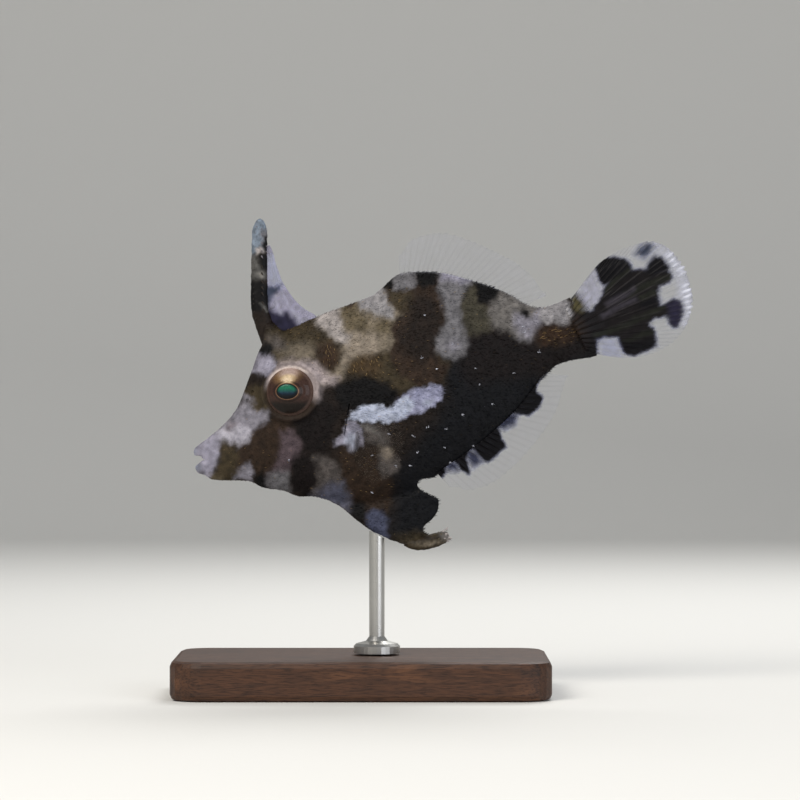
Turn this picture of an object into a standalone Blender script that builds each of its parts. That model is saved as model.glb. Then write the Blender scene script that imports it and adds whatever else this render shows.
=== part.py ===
"""A life-size bristle-tailed (aiptasia-eating) filefish, nose down as it swims, on a plain display stand.

The animal is built in its own frame: X runs from the snout to the tail, Z runs up through the back and
Y is across, with its left side at -Y. An empty then pitches it nose down over the stand, whose
underside is at Z = 0 with the origin at its centre.
"""

import math

import bmesh
import bpy
import numpy as np
from mathutils import Matrix, Vector

MM = 0.001
SEAM = 0.3 * MM  # the gap that touching pieces keep

# Driving sizes of the animal
BODY_LENGTH = 63.6 * MM  # snout to the root of the tail fin
PITCH = math.radians(19.0)  # nose down
LOWEST_POINT = 22.0 * MM  # the belly flap's height over the floor
STAND_AT = 27.0 * MM  # how far behind the snout, along the animal, the stand's centre lies

# Side outline without fins: distance behind the snout, height over the mouth-to-tail line
BACK = np.array([
    (0.0, 0.5), (1.8, 2.1), (4.7, 3.3), (8.0, 5.1), (10.1, 7.4), (12.4, 10.2), (15.4, 13.5), (17.8, 14.1),
    (25.8, 14.9), (33.7, 15.1), (36.6, 16.2), (38.6, 17.0), (43.2, 15.9), (49.8, 12.0), (53.9, 8.7),
    (56.6, 5.6), (59.0, 4.6), (63.6, 5.0),
]) * MM
BELLY = np.array([
    (0.0, -3.0), (0.9, -3.9), (2.4, -4.6), (6.6, -6.2), (11.0, -8.7), (15.2, -11.7), (19.2, -14.4), (24.0, -15.8),
    (29.0, -16.0), (35.0, -14.6), (43.0, -12.2), (49.8, -9.2), (55.0, -5.8), (58.0, -4.6), (63.6, -5.4),
]) * MM
# Across: half the width, and the height at which it is widest
HALF_WIDTH = np.array([
    (0.0, 1.2), (2.0, 1.6), (6.0, 2.2), (10.0, 3.0), (14.0, 4.1), (18.0, 4.8), (24.0, 5.3), (30.0, 5.2),
    (36.0, 4.7), (43.0, 3.8), (50.0, 2.8), (56.0, 1.9), (60.0, 1.5), (63.6, 1.2),
]) * MM
WIDEST_AT = np.array([(0.0, -1.2), (8.0, 0.0), (17.0, 2.2), (26.0, 0.6), (40.0, 0.8), (63.6, -0.2)]) * MM
# How much the section narrows to a ridge: 1 is an ellipse, more is sharper
BACK_RIDGE = np.array([(0.0, 0.85), (8.0, 0.95), (16.0, 1.05), (34.0, 1.3), (52.0, 1.3), (63.6, 0.9)])
BELLY_RIDGE = np.array([(0.0, 0.85), (8.0, 1.0), (18.0, 1.35), (30.0, 1.5), (50.0, 1.4), (63.6, 0.9)])
STATION_STEP = 1.05 * MM
RING_POINTS = 32

# Mouth
MOUTH_HEIGHT = -0.55 * MM
MOUTH_DEPTH = 1.9 * MM
MOUTH_GAPE = 0.13 * MM  # half the height of the slit between the lips
LIP_RADIUS = 0.8 * MM
LIP_REACH, LIP_BACK = 1.15 * MM, 1.8 * MM  # how far a lip bends forward of its ends
LIP_HALF_WIDTH = 1.2 * MM
LIP_OVER_SLIT = 0.95 * MM
NOSTRILS = [(10.3 * MM, 5.9 * MM), (11.5 * MM, 6.9 * MM)]
NOSTRIL_RADIUS = 0.26 * MM

# Eye
EYE_BEHIND_SNOUT = 17.1 * MM
EYE_HEIGHT = 5.1 * MM
EYE_RADIUS = 3.9 * MM
EYE_DEPTH = 2.5 * MM  # half its size across
EYE_PROUD = 1.5 * MM  # how far it stands out of the cheek
PUPIL_SIZE = (1.4 * MM, 1.05 * MM)
RIM_RADIUS = 0.5 * MM
RIM_OUTSIDE = 0.6 * MM  # from the eyeball's edge to the middle of its rim of skin
RIM_PROUD = 0.13 * MM
EYE_TURN = math.radians(9.0)  # the eye looks a little forwards
EYE_LIFT = math.radians(7.0)  # and a little up

# Gill slit, and the slanted seam behind it between head and trunk
GILL_TOP = Vector((25.3, 0, 0.7)) * MM
GILL_BOTTOM = Vector((22.6, 0, -4.3)) * MM
GILL_WIDTH = 0.35 * MM
GILL_CUT = 0.7 * MM
SHOULDER_GAP = 0.85 * MM  # slit to seam
PEDUNCLE_FROM = 57.0 * MM
TAIL_ROOT_TOP = Vector((62.9, 0, 5.0)) * MM
TAIL_ROOT_BOTTOM = Vector((64.2, 0, -5.4)) * MM

# Fins
MEMBRANE = 0.25 * MM  # half the thickness
RAY_RIDGE = 0.22 * MM  # how far a ray stands out of it on each side
RAY_TIP = 0.03  # how far a ray's tip passes the membrane, as a share of its length
FIN_ROOT = 0.62 * MM  # half the thickness at the root
DORSAL_FROM, DORSAL_TO, DORSAL_RAYS = 38.9 * MM, 56.2 * MM, 26
ANAL_FROM, ANAL_TO, ANAL_RAYS = 35.4 * MM, 55.6 * MM, 24
SOFT_RAY = 6.3 * MM
CAUDAL_RAYS = 12
PECTORAL_RAYS = 11
PECTORAL_RAY = 8.4 * MM
PECTORAL_ROOT_TOP = Vector((24.5, 0, -4.3)) * MM
PECTORAL_ROOT_BOTTOM = Vector((23.3, 0, -6.9)) * MM
PECTORAL_OUT = math.radians(28.0)

# First dorsal spine: its middle line from root to tip
SPINE_LINE = np.array([(17.0, 14.2), (16.9, 17.5), (17.4, 21.0), (18.4, 25.0), (19.5, 28.4), (20.9, 31.4)]) * MM
SPINE_DEPTH, SPINE_TIP_DEPTH = 1.5 * MM, 0.75 * MM  # half, front to back
SPINE_WIDTH, SPINE_TIP_WIDTH = 1.0 * MM, 0.45 * MM  # half, across
SPINE_SIDES, SPINE_STEPS = 12, 16
BARBS = 7
BARB_LENGTH = 1.0 * MM
WEB_FROM, WEB_TO = 0.93, 0.035  # shares of the spine's height between which the web is fixed
WEB_FOLD = 0.12 * MM
WEB_ROWS = 6
WEB_EDGE = np.array([
    (21.3, 29.2), (21.0, 26.0), (20.8, 23.2), (21.0, 20.2), (21.7, 18.0), (22.6, 16.7), (23.5, 15.8), (24.6, 15.2),
]) * MM

# Belly flap and the rough spine that ends the pelvis, its middle line from root to tip
FLAP_FROM, FLAP_TO = 16.8 * MM, 33.2 * MM
FLAP_EDGE = np.array([
    (16.6, -13.3), (18.9, -15.8), (21.0, -18.2), (23.0, -20.4), (24.8, -22.1), (26.0, -22.7), (28.0, -22.95),
    (30.3, -22.9), (30.5, -21.7), (31.9, -20.7), (33.2, -19.4), (33.7, -18.0), (32.6, -16.8), (33.2, -15.9),
]) * MM
FLAP_ROOT, KEEL = 0.95 * MM, 1.25 * MM  # half thickness at the root, and along the pelvis bone
FLAP_TAPER = [(0, 0.75), (0.15, 1), (0.42, 1), (0.55, 0.6), (0.7, 0.28), (1, 0.26)]  # along the edge
FLAP_PLEAT = 0.1 * MM
FLAP_GRID = (34, 9)
PELVIC_LINE = [(26.4, -23.5), (27.3, -23.95), (28.6, -24.15), (30.0, -24.2), (31.6, -24.05), (33.3, -23.75)]
PELVIC_RADII = [0.4 * MM, 0.75 * MM, 0.85 * MM, 0.85 * MM, 0.8 * MM, 0.5 * MM]
PELVIC_BARBS = 6

# Display stand
BASE_SIZE = Vector((58.0, 36.0, 6.0)) * MM
BASE_CORNER = 5.0 * MM
BASE_CHAMFER = 0.9 * MM
ROD_RADIUS = 1.2 * MM
ROD_FOOT = 3.6 * MM
ROD_STEPS = 32
ROD_AT = 22.6 * MM  # how far behind the snout the rod meets the belly keel


def smooth(table, at):
    """A smooth curve through (key, value) pairs that never overshoots them, read at one key or many."""
    keys, values = np.asarray(table, float).T
    step = np.diff(keys)
    slope = np.diff(values) / step
    tangent = np.zeros_like(values)
    tangent[0], tangent[-1] = slope[0], slope[-1]
    for i in range(1, len(keys) - 1):
        if slope[i - 1] * slope[i] > 0:
            before, after = 2 * step[i] + step[i - 1], step[i] + 2 * step[i - 1]
            tangent[i] = (before + after) / (before / slope[i - 1] + after / slope[i])
    at = np.asarray(at, float)
    i = np.clip(np.searchsorted(keys, at) - 1, 0, len(step) - 1)
    t = (at - keys[i]) / step[i]
    rise = values[i] * (1 + 2 * t) * (1 - t) ** 2 + values[i + 1] * t * t * (3 - 2 * t)
    return rise + step[i] * (tangent[i] * t * (1 - t) ** 2 + tangent[i + 1] * t * t * (t - 1))


def along(points, t):
    """The side-view point at share t of the length of a smooth line through points."""
    lengths = np.concatenate([[0], np.cumsum(np.linalg.norm(np.diff(points, axis=0), axis=1))])
    shares = lengths / lengths[-1]
    return Vector((
        float(smooth(np.column_stack([shares, points[:, 0]]), t)), 0,
        float(smooth(np.column_stack([shares, points[:, 1]]), t)),
    ))


def material(name, colour, roughness, metallic=0.0):
    """A plain Principled finish."""
    made = bpy.data.materials.new(name)
    made.use_nodes = True
    shader = made.node_tree.nodes["Principled BSDF"]
    shader.inputs["Base Color"].default_value = (*colour, 1)
    shader.inputs["Roughness"].default_value = roughness
    shader.inputs["Metallic"].default_value = metallic
    return made


def closed_mesh(name, form):
    """A mesh from a closed bmesh, with its faces turned outwards."""
    bmesh.ops.recalc_face_normals(form, faces=form.faces)
    if form.calc_volume(signed=True) < 0:
        bmesh.ops.reverse_faces(form, faces=form.faces)
    mesh = bpy.data.meshes.new(name)
    form.to_mesh(mesh)
    form.free()
    return mesh


def new_object(name, form, finish, parent=None):
    """A named, smooth-shaded mesh object made from a bmesh."""
    mesh = closed_mesh(name, form)
    mesh.shade_smooth()
    mesh.set_sharp_from_angle(angle=math.radians(50))
    mesh.materials.append(finish)
    made = bpy.data.objects.new(name, mesh)
    bpy.data.collections["filefish"].objects.link(made)
    made.parent = parent
    return made


def loft(rings):
    """A closed skin over rings of the same number of points, with a point or a flat fan at each end."""
    form = bmesh.new()
    rows = [[form.verts.new(point) for point in ring] for ring in rings]
    count = len(rows[0])
    for one, two in zip(rows, rows[1:]):
        for k in range(count):
            form.faces.new((one[k], one[(k + 1) % count], two[(k + 1) % count], two[k]))
    for row, ring in ((rows[0], rings[0]), (rows[-1], rings[-1])):
        middle = form.verts.new(sum((Vector(p) for p in ring), Vector()) / count)
        for k in range(count):
            form.faces.new((row[k], row[(k + 1) % count], middle))
    return form


def body_ring(x, shrink=1.0):
    """One cross-section of the body at x, optionally shrunk towards its middle."""
    top, bottom = float(smooth(BACK, x)), float(smooth(BELLY, x))
    middle, width = float(smooth(WIDEST_AT, x)), float(smooth(HALF_WIDTH, x))
    back_power, belly_power = float(smooth(BACK_RIDGE, x / MM)), float(smooth(BELLY_RIDGE, x / MM))
    ring = []
    for k in range(RING_POINTS):
        turn = 2 * math.pi * k / RING_POINTS
        rise, out = math.cos(turn), math.sin(turn)
        power = back_power if rise > 0 else belly_power
        reach = (top - middle) if rise > 0 else (middle - bottom)
        y = width * math.copysign(abs(out) ** power, out) if abs(out) > 1e-9 else 0.0
        ring.append(Vector((x, y * shrink, middle + reach * rise * shrink)))
    return ring


def side_of(x, z):
    """Half the body's width at a point of its side."""
    top, bottom = float(smooth(BACK, x)), float(smooth(BELLY, x))
    middle, width = float(smooth(WIDEST_AT, x)), float(smooth(HALF_WIDTH, x))
    upper = z > middle
    rise = (z - middle) / ((top - middle) if upper else (middle - bottom))
    power = float(smooth(BACK_RIDGE if upper else BELLY_RIDGE, x / MM))
    return width * math.sqrt(max(0.0, 1 - rise * rise)) ** power


def whole_body():
    """Head, trunk and tail root as one smooth solid, with a rounded snout."""
    stations = np.arange(1.0 * MM, BODY_LENGTH + 1.2 * MM, STATION_STEP)
    rings = [body_ring(0.0, 0.55), body_ring(0.25 * MM, 0.8), body_ring(0.55 * MM, 0.92)]
    rings += [body_ring(min(x, BODY_LENGTH)) if x <= BODY_LENGTH else
              [p + Vector((x - BODY_LENGTH, 0, 0)) for p in body_ring(BODY_LENGTH)] for x in stations]
    return loft(rings)


def helper_object(name, form, parent=None):
    """A mesh that only cuts or joins others."""
    made = bpy.data.objects.new(name, closed_mesh(name, form))
    bpy.data.collections["helpers"].objects.link(made)
    made.parent = parent
    made.hide_render = True
    made.display_type = "WIRE"
    return made


def apply_boolean(target, helpers, operation):
    """Joins or cuts with a group of closed helpers in one step, then removes them."""
    group = bpy.data.collections.new("group")
    bpy.context.scene.collection.children.link(group)
    for helper in helpers:
        for owner in list(helper.users_collection):
            owner.objects.unlink(helper)
        group.objects.link(helper)
    change = target.modifiers.new("change", "BOOLEAN")
    change.operation, change.operand_type, change.collection = operation, "COLLECTION", group
    bpy.context.view_layer.update()
    graph = bpy.context.evaluated_depsgraph_get()
    result = bpy.data.meshes.new_from_object(target.evaluated_get(graph))
    target.modifiers.clear()
    old, target.data = target.data, result
    result.name = target.name
    bpy.data.meshes.remove(old)
    for helper in helpers:
        bpy.data.objects.remove(helper)
    bpy.data.collections.remove(group)
    keep_largest(target)


def keep_largest(target):
    """Keeps the closed surface with the most faces, so no scrap of a cut is left."""
    form = bmesh.new()
    form.from_mesh(target.data)
    unseen, groups = set(form.verts), []
    while unseen:
        stack, group = [unseen.pop()], []
        while stack:
            vert = stack.pop()
            group.append(vert)
            for edge in vert.link_edges:
                other = edge.other_vert(vert)
                if other in unseen:
                    unseen.discard(other)
                    stack.append(other)
        groups.append(group)
    groups.sort(key=len)
    for group in groups[:-1]:
        bmesh.ops.delete(form, geom=group, context="VERTS")
    form.to_mesh(target.data)
    form.free()
    target.data.shade_smooth()
    target.data.set_sharp_from_angle(angle=math.radians(50))


def ellipsoid(centre, radii, segments=20, rings=12, turn=None):
    """A closed ellipsoid as a bmesh."""
    form = bmesh.new()
    bmesh.ops.create_uvsphere(form, u_segments=segments, v_segments=rings, radius=1.0)
    place = Matrix.Translation(centre) @ (turn or Matrix()) @ Matrix.Diagonal((*radii, 1))
    bmesh.ops.transform(form, matrix=place, verts=form.verts)
    return form


def box_between(start, end, thickness, width, away=Vector((0, 0, 0))):
    """A box from start to end in the side view, thickness across the line and width across the animal."""
    form = bmesh.new()
    bmesh.ops.create_cube(form, size=1.0)
    line = end - start
    tilt = Matrix.Rotation(-math.atan2(line.z, line.x), 4, "Y")
    place = Matrix.Translation((start + end) / 2 + away) @ tilt
    place = place @ Matrix.Diagonal((line.length, width, thickness, 1))
    bmesh.ops.transform(form, matrix=place, verts=form.verts)
    return form


def curve_tube(points, radii, bevel_resolution=2):
    """A rod that tapers along points: a round-bevelled curve with filled caps, as a closed bmesh."""
    curve = bpy.data.curves.new("tube", "CURVE")
    curve.dimensions = "3D"
    curve.bevel_depth = 1 * MM
    curve.bevel_resolution = bevel_resolution
    curve.use_fill_caps = True
    spline = curve.splines.new("POLY")
    spline.points.add(len(points) - 1)
    for knot, point, radius in zip(spline.points, points, radii):
        knot.co = (*point, 1)
        knot.radius = radius / MM
    guide = bpy.data.objects.new("tube", curve)
    bpy.data.collections["helpers"].objects.link(guide)
    bpy.context.view_layer.update()
    mesh = bpy.data.meshes.new_from_object(guide.evaluated_get(bpy.context.evaluated_depsgraph_get()))
    bpy.data.objects.remove(guide)
    form = bmesh.new()
    form.from_mesh(mesh)
    bmesh.ops.remove_doubles(form, verts=form.verts, dist=0.001 * MM)
    return form


def cone(start, end, root_radius, tip_radius, sides=5):
    """A closed cone or cylinder from start to end."""
    form = bmesh.new()
    line = end - start
    bmesh.ops.create_cone(
        form, cap_ends=True, segments=sides, radius1=root_radius, radius2=tip_radius, depth=line.length
    )
    place = Matrix.Translation((start + end) / 2) @ line.to_track_quat("Z", "Y").to_matrix().to_4x4()
    bmesh.ops.transform(form, matrix=place, verts=form.verts)
    return form


def eye_place(side):
    """Where the left (-1) or right (1) eye sits, and which way it looks: local Y points out of the head."""
    out = side_of(EYE_BEHIND_SNOUT, EYE_HEIGHT) + EYE_PROUD - EYE_DEPTH
    centre = Vector((EYE_BEHIND_SNOUT, side * out, EYE_HEIGHT))
    turn = Matrix.Rotation(side * EYE_TURN, 4, "Z") @ Matrix.Rotation(side * EYE_LIFT, 4, "X")
    return centre, turn


def eye_rim(side, fish):
    """The fold of skin round an eye: a torus whose depth follows the cheek."""
    centre, turn = eye_place(side)
    bpy.ops.mesh.primitive_torus_add(
        major_radius=EYE_RADIUS + RIM_OUTSIDE, minor_radius=RIM_RADIUS, major_segments=26, minor_segments=8
    )
    ring = bpy.context.object
    form = bmesh.new()
    form.from_mesh(ring.data)
    bpy.data.objects.remove(ring)
    for vert in form.verts:
        across, up, out = vert.co
        local = turn @ Vector((across, 0, up))
        x, z = centre.x + local.x, centre.z + local.z
        vert.co = (x, side * (side_of(x, z) + out + RIM_PROUD), z)
    return helper_object("rim", form, fish)


def lip(height, fish):
    """One lip: a roll of flesh bent round the front of the mouth."""
    bends = [math.radians(a) for a in range(-120, 121, 24)]
    points = [Vector((LIP_BACK - LIP_REACH * math.cos(a), LIP_HALF_WIDTH * math.sin(a), height)) for a in bends]
    radii = [LIP_RADIUS * (0.35 + 0.65 * math.cos(0.75 * a)) for a in bends]
    return helper_object("lip", curve_tube(points, radii), fish)


def nostril(side, x, z, fish):
    """A raised nostril rim and the hole that is cut through it."""
    skin_at = Vector((x, side * side_of(x, z), z))
    out = Vector((0, side, 0))
    rim = cone(skin_at - out * 0.5 * MM, skin_at + out * 0.22 * MM, NOSTRIL_RADIUS * 2.3, NOSTRIL_RADIUS * 1.7, 8)
    hole = cone(skin_at - out * 0.5 * MM, skin_at + out * 1 * MM, NOSTRIL_RADIUS, NOSTRIL_RADIUS, 6)
    return helper_object("nostril_rim", rim, fish), helper_object("nostril", hole, fish)


def mouth_slit(fish):
    """A thin slab that opens the body between the lips."""
    form = bmesh.new()
    bmesh.ops.create_cube(form, size=1.0)
    place = Matrix.Translation((0, 0, MOUTH_HEIGHT)) @ Matrix.Diagonal((2 * MOUTH_DEPTH, 6 * MM, 2 * MOUTH_GAPE, 1))
    bmesh.ops.transform(form, matrix=place, verts=form.verts)
    return helper_object("slit", form, fish)


def eye_socket(side, fish):
    """The room for an eye: the back half of a larger eye, with straight walls from its middle outwards."""
    centre, turn = eye_place(side)
    upright = turn @ Matrix.Rotation(-side * math.pi / 2, 4, "X")
    form = bmesh.new()
    bmesh.ops.create_uvsphere(form, u_segments=22, v_segments=12, radius=1.0)
    for vert in form.verts:
        spread = math.hypot(vert.co.x, vert.co.y)
        if vert.co.z > 0.01 and spread > 0.01:
            vert.co.x /= spread
            vert.co.y /= spread
    width = EYE_RADIUS + SEAM
    for vert in form.verts:
        depth = EYE_DEPTH + SEAM if vert.co.z < 0 else 2 * EYE_DEPTH
        vert.co = centre + upright @ Vector((vert.co.x * width, vert.co.y * width, vert.co.z * depth))
    return helper_object("socket", form, fish)


def shoulder_seam():
    """Two points of the slanted seam that runs close behind the gill slit."""
    line = (GILL_TOP - GILL_BOTTOM).normalized()
    away = Vector((line.z, 0, -line.x)) * SHOULDER_GAP
    return GILL_BOTTOM + away, GILL_TOP + away


def flesh(fish, skin):
    """Models head, trunk and tail root whole, adds the face, then parts them with thin cuts."""
    body = new_object("trunk", whole_body(), skin, fish)
    added = [lip(MOUTH_HEIGHT + rise, fish) for rise in (LIP_OVER_SLIT, -LIP_OVER_SLIT)]
    cuts = [mouth_slit(fish)]
    for side in (-1, 1):
        added.append(eye_rim(side, fish))
        for x, z in NOSTRILS:
            rim, hole = nostril(side, x, z, fish)
            added.append(rim)
            cuts.append(hole)
        cuts.append(eye_socket(side, fish))
        middle = (GILL_TOP + GILL_BOTTOM) / 2
        depth = side_of(middle.x, middle.z) - GILL_CUT
        bar = box_between(GILL_BOTTOM, GILL_TOP, GILL_WIDTH, 4 * MM, Vector((0, side * (depth + 2 * MM), 0)))
        cuts.append(helper_object("gill", bar, fish))
    apply_boolean(body, added, "UNION")
    tail_line = (TAIL_ROOT_TOP - TAIL_ROOT_BOTTOM).normalized() * 8 * MM
    behind_tail = Vector((5 * MM, 0, 0))
    tail_cut = box_between(TAIL_ROOT_BOTTOM - tail_line, TAIL_ROOT_TOP + tail_line, 10 * MM, 12 * MM, behind_tail)
    cuts.append(helper_object("tail_cut", tail_cut, fish))
    apply_boolean(body, cuts, "DIFFERENCE")
    split_off(body, "head", *shoulder_seam(), fish, behind=False)
    far = Vector((0, 0, 20 * MM))
    tail_seam = Vector((PEDUNCLE_FROM, 0, 0))
    split_off(body, "caudal_peduncle", tail_seam - far, tail_seam + far, fish, behind=True)


def split_off(body, name, start, end, fish, behind):
    """Cuts the body by a plane through start and end, and keeps what lies beyond it as a new node."""
    line = (end - start).normalized()
    back = Vector((line.z, 0, -line.x))
    halves = {}
    reach = line * 50 * MM
    for label, sign in (("front", -1), ("rear", 1)):
        away = back * sign * (50 * MM - SEAM / 2)
        halves[label] = box_between(start - reach, end + reach, 100 * MM, 40 * MM, away)
    other = body.copy()
    other.data = body.data.copy()
    other.name = name
    bpy.data.collections["filefish"].objects.link(other)
    cut_from_body, cut_from_other = ("rear", "front") if behind else ("front", "rear")
    apply_boolean(body, [helper_object("cut", halves[cut_from_body], fish)], "DIFFERENCE")
    apply_boolean(other, [helper_object("cut", halves[cut_from_other], fish)], "DIFFERENCE")


def eyes(fish, eye_finish):
    """Each eye is a flattened ball with a raised oval pupil."""
    for side, name in ((-1, "eye_left"), (1, "eye_right")):
        centre, turn = eye_place(side)
        radii = Vector((EYE_RADIUS, EYE_DEPTH, EYE_RADIUS))
        ball = new_object(name, ellipsoid(centre, radii, 24, 14, turn), eye_finish, fish)
        out = turn @ Vector((0, side, 0))
        pupil_at = centre + out * (EYE_DEPTH - 0.18 * MM)
        pupil = ellipsoid(pupil_at, Vector((PUPIL_SIZE[0], 0.4 * MM, PUPIL_SIZE[1])), 16, 8, turn)
        apply_boolean(ball, [helper_object("pupil", pupil, fish)], "UNION")


def fin_plate(root, margin, columns, rows, half_thickness, sway=lambda s, r: 0.0):
    """A closed thin plate from a root line to a margin, split into the same triangles on both faces.

    s runs along the root and r from root to margin, both from 0 to 1. half_thickness(s, r) raises the
    rays, and sway(s, r) bends the plate sideways.
    """
    form = bmesh.new()
    faces = {}
    for side in (-1, 1):
        for i in range(columns + 1):
            for j in range(rows + 1):
                s, r = i / columns, j / rows
                point = root(s).lerp(margin(s), r)
                point.y += sway(s, r) + side * half_thickness(s, r)
                faces[side, i, j] = form.verts.new(point)
    for side in (-1, 1):
        for i in range(columns):
            for j in range(rows):
                a, b = faces[side, i, j], faces[side, i + 1, j]
                c, d = faces[side, i + 1, j + 1], faces[side, i, j + 1]
                form.faces.new((a, b, c))
                form.faces.new((a, c, d))
    rim = [(i, 0) for i in range(columns)] + [(columns, j) for j in range(rows)]
    rim += [(i, rows) for i in range(columns, 0, -1)] + [(0, j) for j in range(rows, 0, -1)]
    for (i, j), (k, m) in zip(rim, rim[1:] + rim[:1]):
        form.faces.new((faces[-1, i, j], faces[-1, k, m], faces[1, k, m]))
        form.faces.new((faces[-1, i, j], faces[1, k, m], faces[1, i, j]))
    return form


def ray_height(s, rays):
    """1 on the crest of a ray and 0 half way between two."""
    return abs(1 - 2 * ((s * rays) % 1.0))


def soft_fin(name, table, start, end, rays, up, fish, finish):
    """The long dorsal or anal fin: rays that lean back, longest in front, on a fleshy root."""

    def root(s):
        x = start + (end - start) * s
        return Vector((x, 0, float(smooth(table, x)) + up * SEAM))

    def margin(s):
        base = root(s)
        ahead, back = root(max(0.0, s - 0.02)), root(min(1.0, s + 0.02))
        slope = math.atan2(back.z - ahead.z, back.x - ahead.x)
        lean = math.radians(12 + 30 * s)
        square = slope + up * math.pi / 2 - up * lean
        length = SOFT_RAY * float(smooth([(0, 0.42), (0.08, 0.82), (0.25, 1.0), (0.7, 0.88), (1, 0.5)], s))
        length *= 1 + RAY_TIP * ray_height(s, rays)
        return base + length * Vector((math.cos(square), 0, math.sin(square)))

    def half_thickness(s, r):
        flesh = (FIN_ROOT - MEMBRANE) * max(0.0, 1 - r / 0.3) ** 1.5
        ray = RAY_RIDGE * ray_height(s, rays) * min(1.0, 1.6 - 1.3 * r)
        return (MEMBRANE + flesh + ray) * (1 - 0.35 * r)

    def sway(s, r):
        return 0.55 * MM * r * r * math.sin(2 * math.pi * (1.6 * s + 0.15))

    form = fin_plate(root, margin, rays * 2, 5, half_thickness, sway)
    return new_object(name, form, finish, fish)


def caudal_fin(fish, finish):
    """The tail fan: twelve rays, each forked from its middle outwards."""
    edge = np.array([
        (64.6, 5.5), (66.5, 6.9), (69.5, 8.5), (73.5, 9.2), (76.6, 9.1), (78.9, 7.9), (80.4, 5.5), (81.1, 2.6),
        (80.9, -0.8), (79.6, -3.8), (77.5, -6.0), (74.7, -7.3), (71.5, -7.7), (68.0, -7.0), (65.5, -5.9),
    ]) * MM
    step = (TAIL_ROOT_BOTTOM - TAIL_ROOT_TOP).normalized()
    behind = Vector((-step.z, 0, step.x)) * SEAM
    columns, rows = CAUDAL_RAYS * 4, 9

    def root(s):
        return TAIL_ROOT_TOP.lerp(TAIL_ROOT_BOTTOM, 0.03 + 0.94 * s) + behind

    def margin(s):
        point = along(edge, s)
        tip = RAY_TIP / 8 * math.cos(4 * math.pi * s * CAUDAL_RAYS)
        return point + (point - root(s)) * tip

    def half_thickness(s, r):
        across = abs(((s * CAUDAL_RAYS) % 1.0) - 0.5) * 2
        single, forked = 1 - across, 1 - abs(across - 0.5) * 2
        fork = min(1.0, max(0.0, (r - 0.4) / 0.2))
        ray = RAY_RIDGE * 1.2 * (single * (1 - fork) + forked * fork)
        flesh = (1.1 * MM - MEMBRANE) * max(0.0, 1 - r / 0.28) ** 1.3
        return (MEMBRANE + flesh + ray) * (1 - 0.4 * r)

    def sway(s, r):
        return 0.7 * MM * r * r * math.sin(math.pi * (s + 0.2))

    return new_object("caudal_fin", fin_plate(root, margin, columns, rows, half_thickness, sway), finish, fish)


def pectoral_fin(side, fish, finish):
    """A small rounded fan behind the gill slit, turned out from the flank about its root."""
    hinge = (PECTORAL_ROOT_TOP + PECTORAL_ROOT_BOTTOM) / 2
    half_root = (PECTORAL_ROOT_TOP - PECTORAL_ROOT_BOTTOM).length / 2

    def root(s):
        return Vector((0, 0, half_root * (1 - 2 * s)))

    def margin(s):
        angle = math.radians(22 - 80 * s)
        length = PECTORAL_RAY * float(smooth([(0, 0.8), (0.3, 1.0), (0.6, 0.96), (1, 0.6)], s))
        length *= 1 + RAY_TIP * ray_height(s, PECTORAL_RAYS)
        return root(s) + length * Vector((math.cos(angle), 0, math.sin(angle)))

    def half_thickness(s, r):
        flesh = (0.55 * MM - MEMBRANE) * max(0.0, 1 - r / 0.25)
        return (MEMBRANE + flesh + RAY_RIDGE * ray_height(s, PECTORAL_RAYS)) * (1 - 0.35 * r)

    def sway(s, r):
        return side * -0.9 * MM * r * r

    form = fin_plate(root, margin, PECTORAL_RAYS * 2, 5, half_thickness, sway)
    made = new_object("pectoral_fin_left" if side < 0 else "pectoral_fin_right", form, finish, fish)
    line = PECTORAL_ROOT_TOP - PECTORAL_ROOT_BOTTOM
    lean = Matrix.Rotation(math.atan2(line.x, line.z), 4, "Y")
    outward = Matrix.Rotation(side * PECTORAL_OUT, 4, "Z")
    stand_off = side_of(hinge.x, hinge.z) + SEAM + 0.75 * MM
    made.matrix_local = Matrix.Translation(Vector((hinge.x, side * stand_off, hinge.z))) @ lean @ outward
    return made


def spine_frame(t):
    """At share t of the spine's height: its middle, the way up it, and the way back from it."""
    point = along(SPINE_LINE, t)
    up = (along(SPINE_LINE, min(1, t + 0.02)) - along(SPINE_LINE, max(0, t - 0.02))).normalized()
    return point, up, Vector((up.z, 0, -up.x))


def spine_size(t):
    """Half the spine's depth and width at share t of its height."""
    depth = SPINE_DEPTH + (SPINE_TIP_DEPTH - SPINE_DEPTH) * t
    return depth, SPINE_WIDTH + (SPINE_TIP_WIDTH - SPINE_WIDTH) * t


def over_back(point, gap=SEAM):
    """The point, raised where it needs to be to clear the back by the gap."""
    return Vector((point.x, point.y, max(point.z, float(smooth(BACK, point.x)) + gap)))


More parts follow.
